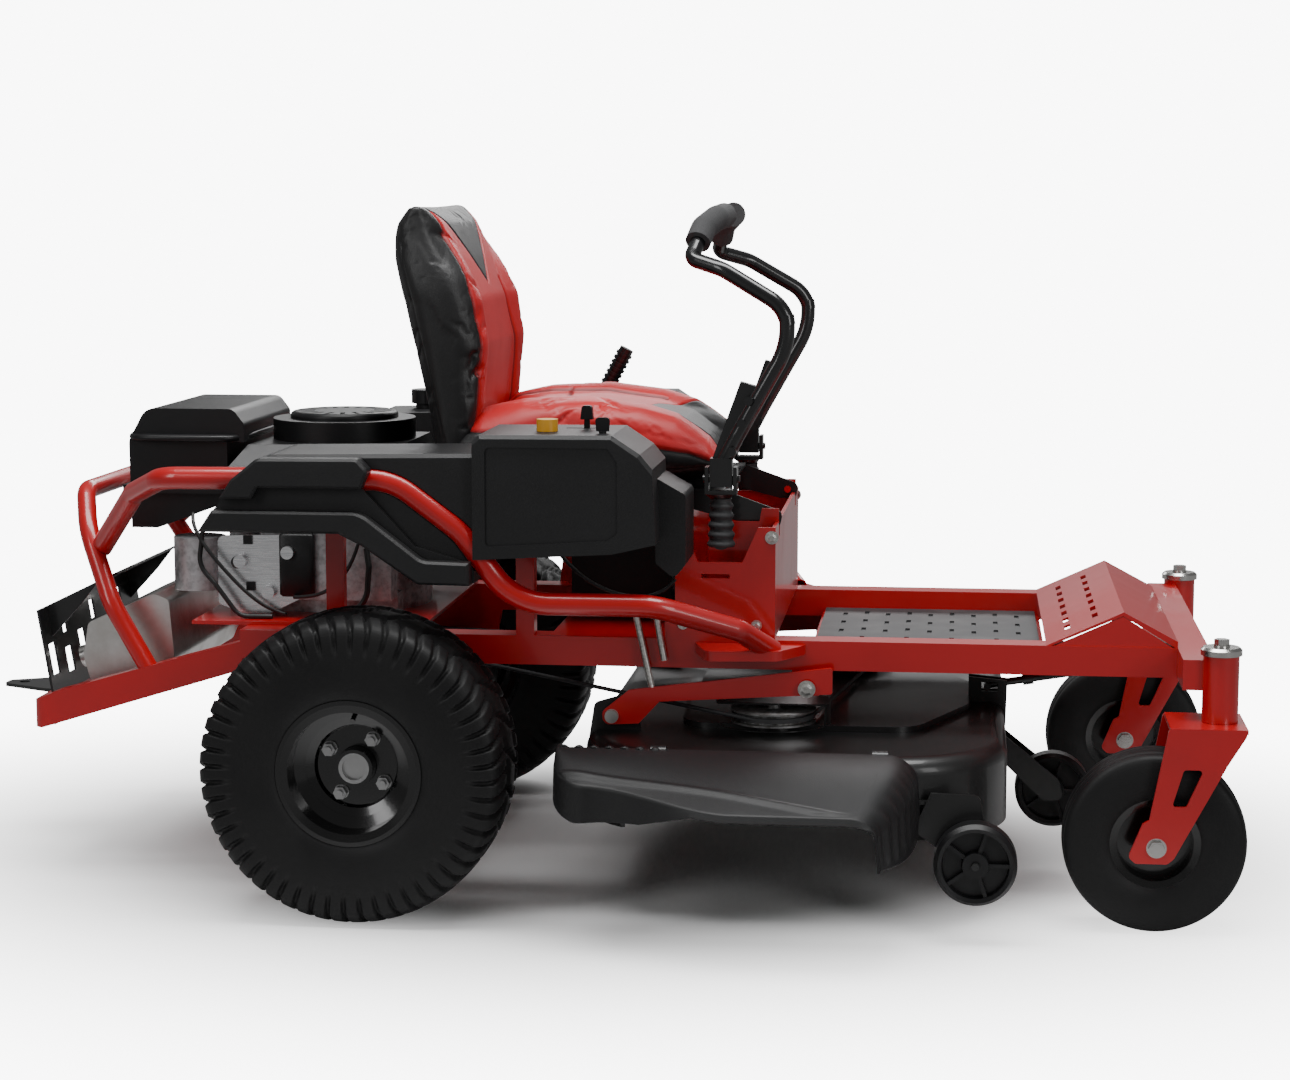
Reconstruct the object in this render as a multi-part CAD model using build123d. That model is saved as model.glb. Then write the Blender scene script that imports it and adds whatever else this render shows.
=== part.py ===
from build123d import *
import math
import os

# Riding mower with zero-turn steering.
# Frame: x forward from the rear axle, y to the left of the centreline, z up from the ground.
# The origin is on the ground midway between the rear wheels. Lengths are millimetres.

# ---- Stance ----
rear_tyre_d = 493.0
rear_tyre_w = 200.0
rear_track = 950.0
rear_rim_d = 203.2
rear_rim_w = 180.0
caster_tyre_d = 286.0
caster_tyre_w = 100.0
caster_track = 823.0
caster_rim_d = 127.0
caster_rim_w = 84.0
wheelbase = 1254.5
caster_trail = 97.0
hub_bolt_circle = 101.6
hub_bolts = 4

# ---- Chassis ----
rail_w = 50.0
rail_h = 48.0
rail_wall = 3.0
rail_gauge = 612.0
rail_drop = 65.0
rail_rear_x = -240.0
kingpin_r = 12.7
kingpin_tube_r = 28.0
kingpin_tube_h = 105.0
sheet = 6.0
side_tube_r = 18.0
side_tube_wall = 2.5
hoop_tube_r = 16.0
side_tube_y = 478.0

# ---- Engine ----
crank_x = -128.0
crank_r = 14.0
crankcase_r = 150.0
crankcase_h = 190.0
shroud_h = 82.0
screen_r = 124.0
screen_h = 48.0
air_cleaner_w = 440.0
muffler_w = 430.0

# ---- Bodywork ----
fender_w = 180.0
fender_lip = 34.0
fender_skin = 4.0
console_w = 196.0
console_len = 288.0

# ---- Seat and levers ----
seat_w = 490.0
seat_pan_w = 430.0
seat_pivot_x = 636.0
seat_pivot_rise = 189.0
lever_x = 560.0
lever_rise = 162.0
lever_y = 283.0
lap_bar_r = 12.7
grip_r = 21.0

# ---- Cutting deck ----
deck_len = 682.0
deck_w = 1045.0
deck_y = 17.5
deck_skirt_h = 128.0
deck_wall = 4.0
deck_drop = 150.0
blade_len = 516.0
blade_gap = 14.0
spindle_r = 12.5
deck_pulley_r = 70.0
deck_wheel_r = 64.0
deck_wheel_w = 46.0
chute_len = 560.0
chute_reach = 214.0
chute_slope = 12.0

# ---- Clearances ----
seat_gap = 0.3
run_gap = 0.4

# ---- Places that follow from the sizes above ----
rear_axle_z = rear_tyre_d / 2
caster_axle_z = caster_tyre_d / 2
rail_top = rear_tyre_d - rail_drop
rail_bottom = rail_top - rail_h
rail_out = rail_gauge / 2
rail_in = rail_out - rail_w
kingpin_x = wheelbase + caster_trail
rail_front_x = kingpin_x - kingpin_tube_r - 30
kingpin_y = caster_track / 2
kingpin_top = rail_top + 9
kingpin_bottom = kingpin_top - kingpin_tube_h
body_in = rail_out + seat_gap
deck_x = (rear_tyre_d / 2 + kingpin_x - 245) / 2 + 9
deck_rear = deck_x - deck_len / 2
deck_front = deck_x + deck_len / 2
deck_right = deck_y - deck_w / 2
deck_left = deck_y + deck_w / 2
deck_top = rail_top - deck_drop
deck_bottom = deck_top - deck_skirt_h
spindle_y = (blade_len + blade_gap) / 2
deck_wheel_z = deck_top - 151
seat_pivot_z = rail_top + seat_pivot_rise
lever_z = rail_top + lever_rise
pan_z = rail_top + 230
engine_z = rail_top + sheet
shroud_z = engine_z + crankcase_h + 16
belt_z = deck_top + 21
cover_top = deck_top + 44

# ---- Small places shared by several pieces ----
axle_r = 12.7
caster_axle_r = 9.5
lever_pin_r = 7.0
seat_pin_r = 6.0
lift_pin_r = 8.0
wheel_pin_r = 6.0
hitch_hole_r = 9.5
bar_hinge_rise = 98.0
rear_end_x = -605.0
arm_in = 265.0
arm_w = 30.0
engine_plate_x = -336.0
hitch_x = rear_end_x - 118
tray_x = 280.0
rest_x = 225.0
tower_h = 184.0
tower_front = 650.0
floor_x = 700.0
floor_end = kingpin_x - 262
lift_x = 704.0
lift_z = rail_bottom - 28
lift_rod_x = 450.0
arm_y = rail_out + 19
deck_bolt_x = deck_rear + 42
deck_bolt_z = deck_top + 24
link_x = rail_front_x + 24
link_z = rail_bottom - 20
link_deck_x = deck_front - 30
link_deck_z = deck_top - 12 + 40
link_lean = (link_z - link_deck_z) / (link_x - link_deck_x)
belt_drive_z = rail_bottom + 6
crankcase_rear = crank_x - crankcase_r
filler_x, filler_y, filler_r = -60.0, body_in + 110, 26.0
pto_x, pto_y = 297.0, body_in + 120
key_x, key_y = 389.0, body_in + 150
throttle_x, throttle_y = 352.0, body_in + 60
lift_lever_x = 235.0
lift_lever_y = rail_out + 44
lift_lever_z = rail_top + 92
centre_wheel_x = deck_front + 84
chute_hinge_y = deck_right - 16
chute_hinge_z = deck_top + 6
chute_x0 = deck_rear - 4
chute_x1 = chute_x0 + chute_len
chute_eyes = (chute_x0 + 132, chute_x1 - 84)
spindles = [(deck_x - 40, -1), (deck_x + 46, 1)]
corner_wheels = [
    (deck_front - 50, deck_right - 10 - deck_wheel_w / 2, -1),
    (deck_front - 116, deck_left + 10 + deck_wheel_w / 2, 1),
]


# ---- Helpers ----
def block(x0, x1, y0, y1, z0, z1):
    """Solid box between two corners."""
    centre = Pos((x0 + x1) / 2, (y0 + y1) / 2, (z0 + z1) / 2)
    return centre * Box(abs(x1 - x0), abs(y1 - y0), abs(z1 - z0))


def outline(points, radii=None):
    """Flat face through 3-D points, with the corners in radii rounded: {index: radius}."""
    face = make_face(Polyline(*points, close=True)).face()
    for index, radius in (radii or {}).items():
        corner = sorted(face.vertices(), key=lambda v: (Vector(*v) - Vector(*points[index])).length)[0]
        face = face.fillet_2d(radius, [corner])
    return face


def side_plate(points, y0, y1, radii=None):
    """Prism of an x-z outline, from y0 to y1."""
    face = outline([(x, y0, z) for x, z in points], radii)
    return extrude(face, amount=y1 - y0, dir=(0, 1, 0))


def flat_plate(points, z0, z1, radii=None):
    """Prism of an x-y outline, from z0 to z1."""
    face = outline([(x, y, z0) for x, y in points], radii)
    return extrude(face, amount=z1 - z0, dir=(0, 0, 1))


def rod(p, q, radius):
    """Round bar from p to q."""
    a, b = Vector(*p), Vector(*q)
    return Plane(origin=a, z_dir=b - a) * Cylinder(
        radius, (b - a).length, align=(Align.CENTER, Align.CENTER, Align.MIN)
    )


def upright(x, y, z0, z1, radius):
    return rod((x, y, z0), (x, y, z1), radius)


def cross(x, z, y0, y1, radius):
    return rod((x, y0, z), (x, y1, z), radius)


def bent_tube(points, radii, radius, wall=0.0):
    """Tube along straight runs joined by tangent arcs, one radius for each corner."""
    path = FilletPolyline(*points, radius=radii)
    start = Plane(origin=path @ 0, z_dir=path % 0)
    solid = sweep(start * Circle(radius), path=path)
    if wall:
        solid = solid - sweep(start * Circle(radius - wall), path=path)
    return solid


def turned(profile, x, z, y):
    """Ring about the line through (x, z) along y; profile is a list of (offset from y, radius)."""
    face = outline([(x, y + offset, z + radius) for offset, radius in profile])
    return revolve(face, axis=Axis((x, 0, z), (0, 1, 0)), revolution_arc=360)


def both_sides(solid):
    return solid + mirror(solid, about=Plane.XZ)


def group(*solids):
    """Several separate solids in one node."""
    return Compound(children=[s for item in solids for s in item.solids()])


# ---- Chassis ----
def frame_rails():
    def rail():
        tube = block(rail_rear_x, rail_front_x, rail_in, rail_out, rail_bottom, rail_top)
        bore = block(
            rail_rear_x - 1, rail_front_x + 1, rail_in + rail_wall, rail_out - rail_wall,
            rail_bottom + rail_wall, rail_top - rail_wall,
        )
        hanger = side_plate(
            [(lift_x - 26, rail_bottom), (lift_x + 26, rail_bottom), (lift_x + 18, lift_z - 14),
            (lift_x - 18, lift_z - 14)],
            rail_out - sheet, rail_out,
        )
        pin = cross(lift_x, lift_z, rail_out - sheet, rail_out + 34, lift_pin_r)
        return (tube - bore) + hanger + pin

    rails = both_sides(rail())
    for x in (rail_rear_x + 5, seat_pivot_x - 45):
        rails += block(x, x + 34, -rail_in, rail_in, rail_bottom + 2, rail_top - 2)
    tray = block(tray_x, tray_x + 220, -rail_in, rail_in, rail_top - 3, rail_top)
    floor = block(floor_x, floor_end, -rail_in, rail_in, rail_bottom + 4, rail_bottom + 7)
    return rails + tray + floor


def front_axle_beam():
    half = kingpin_y
    beam = block(rail_front_x, rail_front_x + 50, -half, half, rail_bottom, rail_top)
    beam -= block(
        rail_front_x + rail_wall, rail_front_x + 50 - rail_wall, -half + 40, half - 40,
        rail_bottom + rail_wall, rail_top - rail_wall,
    )
    link_ears = block(rail_front_x + 6, rail_front_x + 42, 8, 13, link_z - 14, rail_bottom)
    beam += both_sides(link_ears)
    beam += cross(link_x, link_z, -13, 13, 6)
    for s in (-1, 1):
        beam += upright(kingpin_x, s * half, kingpin_bottom, kingpin_top, kingpin_tube_r)
        beam -= upright(kingpin_x, s * half, kingpin_bottom - 1, kingpin_top + 1, kingpin_r + run_gap)
    return beam


def rear_arm():
    t = rail_top
    return side_plate(
        [
            (rail_rear_x, t - 21), (rail_rear_x, t - 69), (rear_end_x + 16, t - 176),
            (rear_end_x, t - 176), (rear_end_x, t - 130), (rear_end_x + 45, t - 112), (-403, t - 67),
        ],
        arm_in, arm_in + arm_w,
    )


def rear_frame():
    crossbar = block(rear_end_x, rear_end_x + 30, -arm_in, arm_in, rail_top - 176, rail_top - 130)
    bar = both_sides(rear_arm()) + crossbar
    corners = bar.edges().filter_by(Axis.Z).sort_by(Axis.X)[:2]
    bar = fillet(corners, 24)
    plate = block(engine_plate_x, 60, -rail_in, rail_in, rail_top, engine_z)
    plate -= upright(crank_x, 0, rail_top - 1, engine_z + 1, 46)
    drop = side_plate(
        [(-105, rail_bottom), (105, rail_bottom), (70, rear_axle_z - 60), (-70, rear_axle_z - 60)],
        rail_in, rail_in + sheet,
    )
    drop -= cross(0, rear_axle_z, rail_in - 1, rail_in + sheet + 1, 46)
    post = block(-92, -62, rail_out - 20, rail_out, rail_top, rail_top + 262)
    lever_post = side_plate(
        [(lift_lever_x - 34, rail_bottom), (lift_lever_x + 34, rail_bottom),
         (lift_lever_x + 16, lift_lever_z + 16), (lift_lever_x - 16, lift_lever_z + 16)],
        rail_out, rail_out + sheet,
    )
    lever_post += cross(lift_lever_x, lift_lever_z, rail_out, lift_lever_y + 14, 10)
    return group(bar, plate, both_sides(drop), both_sides(post), lever_post)


def hitch_plate():
    z = rail_top - 160
    tongue = flat_plate(
        [(rear_end_x, -70), (rear_end_x, 70), (rear_end_x - 60, 60), (rear_end_x - 150, 16),
         (rear_end_x - 150, -16), (rear_end_x - 60, -60)],
        z, z + sheet, {3: 12, 4: 12},
    )
    flange = block(rear_end_x - sheet, rear_end_x, -70, 70, z - 12, z + 26)
    return tongue + flange - upright(hitch_x, 0, z - 1, z + sheet + 1, hitch_hole_r)


def hoop_points():
    t = rail_top
    near = [(-392, -280, t - 96), (-470, -268, t + 34), (-526, -214, t + 152), (-549, -150, t + 212)]
    return near + [(x, -y, z) for x, y, z in reversed(near)]


def bumper_hoop():
    hoop = bent_tube(hoop_points(), [110, 160, 46, 46, 160, 110], hoop_tube_r, 2.5)
    for s in (-1, 1):
        arm = rear_arm() if s > 0 else mirror(rear_arm(), about=Plane.XZ)
        hoop -= arm
        hoop -= block(-420, -300, s * 200, s * 330, rail_top - 140, rail_top - 71)
    return hoop.solids().sort_by(SortBy.VOLUME)[-1]


def side_tube_points():
    t, y = rail_top, side_tube_y
    return [
        (-500, -222, t + 124), (-400, -352, t + 232), (-318, -y + 14, t + 270), (58, -y, t + 274),
        (168, -y, t + 192), (250, -y, t + 80), (470, -y, t + 80), (600, -y + 60, t + 34),
        (648, -rail_out - 40, t - 10),
    ]


def side_tube(radius, wall):
    return bent_tube(side_tube_points(), [60, 50, 110, 110, 110, 110, 24], radius, wall)


def side_tubes():
    tube = side_tube(side_tube_r, side_tube_wall)
    tube -= bent_tube(hoop_points()[:4], [110, 160], hoop_tube_r + seat_gap)
    step = flat_plate(
        [(520, -rail_out), (700, -rail_out), (690, -rail_out - 22), (660, -rail_out - 72),
        (545, -rail_out - 84)],
        rail_top - 22, rail_top - 6, {2: 10, 3: 20, 4: 20},
    )
    return both_sides(tube.solids().sort_by(SortBy.VOLUME)[-1] + step)


def seat_tower():
    """Open-topped box of folded sheet, with windows for the levers and plates that carry their pins."""
    t, top = rail_top, rail_top + tower_h
    rear, front = 487, tower_front
    shape = [(rear - 17, t), (rear - 17, t + 40), (rear, t + 60), (rear, top), (front, top), (front, t)]
    shell = side_plate(shape, -rail_out, rail_out)
    inside = [(rear - 11, t + 5), (rear - 11, t + 38), (rear + 6, t + 58), (rear + 6, top + 9),
        (front - 6, top + 9), (front - 6, t + 5)]
    shell -= side_plate(inside, -rail_out + sheet, rail_out - sheet)
    window = [(lever_x - 62, top + 9), (lever_x - 36, lever_z - 36), (lever_x + 36, lever_z - 36),
        (lever_x + 66, top + 9)]
    shell -= side_plate(window, -rail_out - 1, rail_out + 1)
    shell -= block(lever_x - 30, lever_x + 16, -rail_out - 1, rail_out + 1, lever_z - 62, lever_z - 55)
    shell -= both_sides(block(front - 9, front + 1, seat_pan_w / 2 - 12, seat_pan_w / 2 + 7,
        seat_pivot_z - 30, top + 1))
    plate_in = seat_pan_w / 2 + 8
    for s in (-1, 1):
        plate = side_plate(
            [(lever_x - 26, t), (lever_x - 26, top), (seat_pivot_x - 18, top),
            (seat_pivot_x - 14, top + 22), (front, top + 22), (front, t)],
            plate_in, plate_in + 5,
        )
        plate += cross(lever_x, lever_z, plate_in, lever_y + 12, lever_pin_r)
        plate += cross(seat_pivot_x, seat_pivot_z, plate_in - 15, plate_in + 5, seat_pin_r)
        shell += plate if s > 0 else mirror(plate, about=Plane.XZ)
    rest_z = pan_z - 40
    rest = block(rest_x, rest_x + 30, -rail_out, rail_out, rest_z - 20, rest_z)
    legs = both_sides(block(rest_x, rest_x + 30, rail_out - 30, rail_out, t, rest_z))
    pads = both_sides(upright(rest_x + 15, 150, rest_z, pan_z - seat_gap, 15))
    return group(shell, rest + legs + pads)


def floor_mat():
    z = rail_bottom + 7
    mat = block(floor_x + 6, floor_end - 8, -rail_in + 4, rail_in - 4, z, z + 9)
    for i in range(9):
        for j in range(5):
            x, y = floor_x + 40 + i * 38, -180 + j * 90 + (i % 2) * 18
            mat -= block(x, x + 8, y - 16, y + 16, z + 6, z + 10)
    return mat


def footrest_panel():
    t, x = rail_top, kingpin_x
    y = rail_out - 2
    ramp = side_plate(
        [(x - 266, t), (x - 144, t + 56), (x - 58, t + 10), (x - 58, t), (x - 62, t), (x - 145, t + 50),
        (x - 258, t)],
        -y, y,
    )
    for j in range(7):
        at = -216 + j * 72
        for k in (0, 1):
            near = x - 234 + k * 44
            ramp -= block(near, near + 9, at - 18, at + 18, t - 1, t + 70)
    gusset = side_plate([(x - 252, t), (x - 145, t + 49), (x - 66, t)], y - 5, y)
    return ramp + both_sides(gusset)


# ---- Engine ----
def engine_block():
    z = engine_z
    case = upright(crank_x, 0, z, z + crankcase_h, crankcase_r)
    case += block(crank_x - 165, crank_x + 120, -140, 140, z, z + 34)
    for s in (-1, 1):
        barrel = block(crank_x - 50, crank_x + 46, s * 120, s * 196, z + 36, z + 142)
        case += barrel
        for k in range(6):
            y = s * (150 + k * 9)
            case += block(crank_x - 62, crank_x + 122, min(y, y + s * 4), max(y, y + s * 4), z + 30,
                z + 148)
        case += block(crank_x + 40, crank_x + 112, min(s * 60, s * 190), max(s * 60, s * 190), z + 40,
            z + 136)
    case += upright(crank_x - 222, -150, z + 40, z + 130, 44)
    case += block(crank_x - 190, crank_x - 100, -165, -120, z + 26, z + 100)
    case += upright(crank_x - 210, 135, z + 40, z + 140, 38)
    case += block(crank_x - 190, crank_x - 100, 100, 140, z + 26, z + 100)
    return case - upright(crank_x, 0, z - 1, z + crankcase_h + 1, crank_r + run_gap)


def cylinder_covers():
    z = engine_z
    plates = []
    for s in (-1, 1):
        plate = side_plate(
            [(-303, z + 22), (-303, z + 138), (-156, z + 142), (-158, z + 34), (-214, z + 6),
            (-262, z + 6)],
            s * 199.3, s * 206, {0: 8, 1: 12, 2: 8, 3: 8, 4: 12, 5: 12},
        )
        for x, up in ((-262, 96), (-214, 44), (-180, 112)):
            plate += cross(x, z + up, s * 205, s * 220, 11)
        plate += block(-300, -291, min(s * 166, s * 200), max(s * 166, s * 200), z + 44, z + 130)
        plates.append(plate)
    return group(*plates)


def blower_housing():
    z = shroud_z
    lower = flat_plate(
        [(-296, -208), (-296, 208), (-60, 208), (24, 150), (24, -150), (-60, -208)],
        z - 16, z + 42, {0: 30, 1: 30, 2: 40, 3: 40, 4: 40, 5: 40},
    )
    upper = loft([
        outline([(-290, -196, z + 42), (-290, 196, z + 42), (10, 150, z + 42), (10, -150, z + 42)]),
        outline([(-262, -150, z + shroud_h), (-262, 150, z + shroud_h), (0, 120, z + shroud_h),
            (0, -120, z + shroud_h)]),
    ])
    cavity = upright(crank_x, 0, z - 6, z + shroud_h - 16, 112 + 8)
    bore = upright(crank_x, 0, z - 17, z - 5, crank_r + 6)
    vent = upright(crank_x, 0, z + shroud_h - 18, z + shroud_h + 1, 100)
    return lower + upper - cavity - bore - vent


def debris_screen():
    z = shroud_z + shroud_h
    dome = upright(crank_x, 0, z, z + screen_h - 12, screen_r)
    dome += upright(crank_x, 0, z + screen_h - 12, z + screen_h, screen_r - 30)
    edges = dome.edges().filter_by(GeomType.CIRCLE).group_by(Axis.Z)
    dome = fillet(edges[-1], 8)
    dome -= upright(crank_x, 0, z - 1, z + screen_h - 16, screen_r - 34)
    for k in range(18):
        cutter = Pos(crank_x, 0, 0) * Rot(0, 0, k * 20) * block(52, 84, -4, 4, z + screen_h - 20,
            z + screen_h + 1)
        dome -= cutter
    return dome


def air_cleaner():
    z, w = rail_top, air_cleaner_w / 2
    body = side_plate(
        [(-466, z + 150), (-468, z + 300), (-438, z + 355), (-285, z + 355), (-266, z + 330),
         (-266, z + 299), (-296, z + 299), (-296, z + 196), (-420, z + 150)],
        -w + 60, w - 60, {1: 26, 2: 26, 3: 18, 4: 12},
    )
    skirt = block(-474, -300, -w + 40, w - 40, z + 212, z + 226)
    return body + skirt


def engine_cables():
    z = engine_z
    lead = bent_tube(
        [(-300, -214, z + 186), (-322, -228, z + 150), (-330, -228, z + 90), (-302, -231, z + 60),
        (-262, -228, z + 4.2),
         (-205, -225, z + 4.2)],
        [30, 40, 22, 30], 4,
    )
    pipe = bent_tube(
        [(-46, -207, z + 120), (-40, -216, z + 90), (-44, -216, z + 40), (-70, -216, z + 3.2)],
        [8, 40], 5,
    )
    return group(lead, pipe)


def muffler():
    t, half = rail_top, muffler_w / 2
    can = side_plate(
        [(-540, t - 66), (-530, t - 8), (-414, t + 44), (-388, t + 34), (-380, t - 66), (-398, t - 106),
        (-480, t - 124), (-528, t - 108)],
        -half, half, {0: 16, 1: 12, 2: 16, 3: 12, 4: 20, 5: 16, 6: 16, 7: 16},
    )
    straps = both_sides(block(-450, -410, half, arm_in - seat_gap, t - 96, t - 88))
    outlet = rod((-500, -150, t - 60), (-562, -150, t - 78), 19)
    pipes = both_sides(bent_tube([(-410, 60, t + 24), (-396, 60, t + 70),
        (crankcase_rear - 6, 60, t + 70)], [26], 15))
    return can + straps + outlet + pipes


def muffler_guard():
    """Slotted sheet: an upright face on the crossbar and a flange that slopes forward over the silencer."""
    t = rail_top
    foot, top, tip = (rear_end_x + 25, t - 130), (-604, t + 19), (-474, t + 82)
    half, flange_half = arm_in - 2, 222
    plate = side_plate([foot, top, (top[0] + 4, top[1]), (foot[0] + 4, foot[1])], -half, half)
    for j in range(7):
        y = -half + 34 + j * (2 * half - 68) / 6
        low, high = (26, 70) if j % 2 else (34, 88)
        plate -= block(-680, -540, y - 17, y + 17, foot[1] + low, foot[1] + high)
        if j % 2:
            plate -= block(-680, -540, y - 12, y + 12, foot[1] + 94, foot[1] + 128)
    flange = side_plate([top, tip, (tip[0], tip[1] - 4), (top[0], top[1] - 4)], -flange_half, flange_half)
    for j in range(6):
        y = -flange_half + 40 + j * (2 * flange_half - 80) / 5
        flange -= block(-586, -500, y - 18, y + 18, t, t + 90)
    cheek = side_plate([(top[0], top[1] - 2), (-510, t + 62), (-540, t + 24), (top[0] + 5, t - 40)],
        flange_half - 4, flange_half)
    return plate + flange + both_sides(cheek)


def crankshaft():
    shaft = upright(crank_x, 0, belt_drive_z - 30, shroud_z + 44, crank_r)
    shaft += upright(crank_x, 0, shroud_z + 6, shroud_z + 30, 110)
    for z, r in ((belt_drive_z, 60), (belt_drive_z + 22, 42)):
        shaft += upright(crank_x, 0, z - 10, z + 10, r)
        shaft -= upright(crank_x, 0, z - 8, z + 8, r + 1) - upright(crank_x, 0, z - 8, z + 8, r - 9)
    return shaft


def transaxles():
    t = rear_axle_z
    case = side_plate(
        [(-98, t - 40), (-70, rail_bottom - 40), (60, rail_bottom - 40), (96, t + 20), (90, t - 60),
        (20, t - 92), (-60, t - 88)],
        112, rail_in - seat_gap, {0: 20, 3: 20, 4: 20, 5: 20, 6: 20},
    )
    case += cross(0, t, rail_in - 10, rear_track / 2 - rear_tyre_w / 2 - 8, 38)
    for k in range(5):
        x = -66 + k * 27
        case += block(x, x + 5, 108, 116, t - 50, rail_bottom - 50)
    case -= cross(0, t, 160, rear_track, axle_r + run_gap)
    return both_sides(case)


# ---- Bodywork ----
def fender(side):
    """Moulded shell; a box and a lip stand out from it, and the side tube lies in the channel between them."""
    t, skin = rail_top, fender_skin
    y0, y1 = body_in, body_in + fender_w
    lip = y1 + fender_lip
    profile = [
        (-247, t + 191), (-192, t + 274), (-144, t + 311), (189, t + 316), (189, t + 112), (104, t + 113),
        (17, t + 172), (-21, t + 191),
    ]
    shell = side_plate(profile, y0, y1, {1: 30, 2: 40})
    box = side_plate(
        [(-212, t + 244), (-192, t + 274), (-150, t + 308), (10, t + 309), (28, t + 290), (16, t + 262),
        (-150, t + 262), (-160, t + 244)],
        y1 - skin, lip, {2: 16, 3: 10, 4: 10},
    )
    middle = side_plate(
        [(-243, t + 196), (-196, t + 268), (-164, t + 264), (14, t + 260), (96, t + 170), (180, t + 146),
        (180, t + 130), (-20, t + 196)],
        y1 - skin, y1 + fender_lip / 3,
    )
    low = side_plate(
        [(-247, t + 191), (-224, t + 225), (14, t + 225), (112, t + 150), (186, t + 148), (186, t + 112),
        (104, t + 113), (17, t + 172),
         (-21, t + 191)],
        y1 - skin, lip, {2: 50, 3: 30, 6: 20, 7: 40},
    )
    rear_edge = shell.edges().filter_by(lambda e: e.center().Z > t + 290 and abs(e.center().Y - y1) < 1)
    shell = chamfer(rear_edge, 6)
    for raised in (box, low):
        edges = raised.edges().filter_by(lambda e: abs(e.center().Y - lip) < 0.1)
        shell += chamfer(edges, 4)
    shell += middle
    shell -= side_plate(
        [(-238, t + 100), (-238, t + 189), (-188, t + 268), (-141, t + 303), (189 - skin, t + 309),
        (189 - skin, t + 100)],
        y0 + skin, y1 - skin,
    )
    shell -= both_sides(side_tube(side_tube_r + 2, 0))
    shell = shell.solids().sort_by(SortBy.VOLUME)[-1]
    if side > 0:
        return shell - upright(filler_x, filler_y, t + 280, t + 330, filler_r + 3)
    return mirror(shell, about=Plane.XZ)


def fenders():
    return group(fender(-1), fender(1))


def console(side):
    t, skin = rail_top, fender_skin
    x = 189 + seat_gap
    end = x + console_len
    y0, y1 = body_in, body_in + console_w
    profile = [
        (x, t + 151), (x, t + 338), (x + 10, t + 347), (end - 69, t + 348), (end - 25, t + 319),
        (end - 6, t + 296), (end, t + 179), (end - 69, t + 163),
    ]
    shell = side_plate(profile, y0, y1)
    top_edges = shell.edges().filter_by(lambda e: e.center().Z > t + 300 and abs(e.center().Y - y1) < 1)
    shell = chamfer(top_edges, 6)
    shell += side_plate(
        [(end - 40, t + 290), (end - 2, t + 274), (end + 40, t + 250), (end + 40, t + 140),
        (end + 22, t + 117), (end - 40, t + 168)],
        y0, y0 + 130, {2: 10, 3: 10, 4: 10},
    )
    shell -= side_plate(
        [(x + skin, t + 100), (x + skin, t + 334), (x + 12, t + 340), (end - 72, t + 340),
        (end - 30, t + 312),
         (end - 12, t + 292), (end - 6, t + 100)],
        y0 + skin, y1 - 9,
    )
    shell -= side_plate(
        [(end - 10, t + 100), (end - 10, t + 268), (end + 35, t + 244), (end + 35, t + 100)], y0 + skin,
        y0 + 126,
    )
    shell -= both_sides(side_tube(side_tube_r + 2, 0))
    shell -= side_plate(
        [(x + 20, t + 172), (x + 20, t + 328), (end - 74, t + 328), (end - 60, t + 306),
        (end - 60, t + 196), (end - 76, t + 184)],
        y1 - 3, y1 + 1, {0: 8, 1: 8, 2: 8, 3: 8, 4: 8, 5: 8},
    )
    if side > 0:
        slot_x = lift_lever_x + 60
        return shell - block(slot_x - 58, slot_x + 80, lift_lever_y - 18, lift_lever_y + 18, t + 330,
            t + 360)
    shell = mirror(shell, about=Plane.XZ)
    shell -= upright(pto_x, -pto_y, t + 330, t + 360, 8 + run_gap)
    shell -= upright(key_x, -key_y, t + 330, t + 360, 6 + run_gap)
    shell -= block(throttle_x - 34, throttle_x + 34, -throttle_y - 5, -throttle_y + 5, t + 330, t + 360)
    return shell + throttle_ears(throttle_x, throttle_y, t + 334)


def throttle_ears(x, y, z):
    """Two ears that carry the throttle lever's pin under the console top."""
    ears = block(x - 8, x + 8, -y - 12, -y - 8, z - 14, z + 8)
    ears += block(x - 8, x + 8, -y + 8, -y + 12, z - 14, z + 8)
    return ears + cross(x, z - 8, -y - 12, -y + 12, 2.5)


def consoles():
    return group(console(-1), console(1))


def fuel_tank():
    t = rail_top
    y0, y1 = body_in + fender_skin + seat_gap, body_in + fender_w - 42
    tank = side_plate(
        [(-120, t + 210), (-120, t + 290), (150, t + 300), (150, t + 190), (40, t + 202)],
        y0, y1, {0: 25, 1: 25, 2: 25, 3: 25},
    )
    neck = upright(filler_x, filler_y, t + 280, t + 322, filler_r)
    return tank + neck - upright(filler_x, filler_y, t + 250, t + 323, filler_r - 4)


def battery():
    z = rail_top
    case = block(tray_x + 5, tray_x + 177, -82, 82, z, z + 128)
    lid = block(tray_x + 3, tray_x + 179, -84, 84, z + 128, z + 146)
    posts = both_sides(block(tray_x + 21, tray_x + 39, 52, 66, z + 146, z + 160))
    return case + lid + posts


def fuel_cap():
    z = rail_top + 322 + seat_gap
    cap = upright(filler_x, filler_y, z, z + 26, filler_r + 8)
    for k in range(12):
        angle = math.radians(k * 30)
        reach = filler_r + 9
        cap -= upright(filler_x + reach * math.cos(angle), filler_y + reach * math.sin(angle), z - 1,
            z + 27, 3)
    return cap + upright(filler_x, filler_y, z - 14, z, filler_r - 5)


def ignition_key():
    z = rail_top + 347
    stem = upright(key_x, -key_y, z - 14, z + 4, 6)
    bow = side_plate([(key_x - 10, z + 4), (key_x + 10, z + 4), (key_x + 12, z + 26), (key_x - 12, z + 26)],
                     -key_y - 2, -key_y + 2, {2: 6, 3: 6})
    return stem + bow


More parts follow.
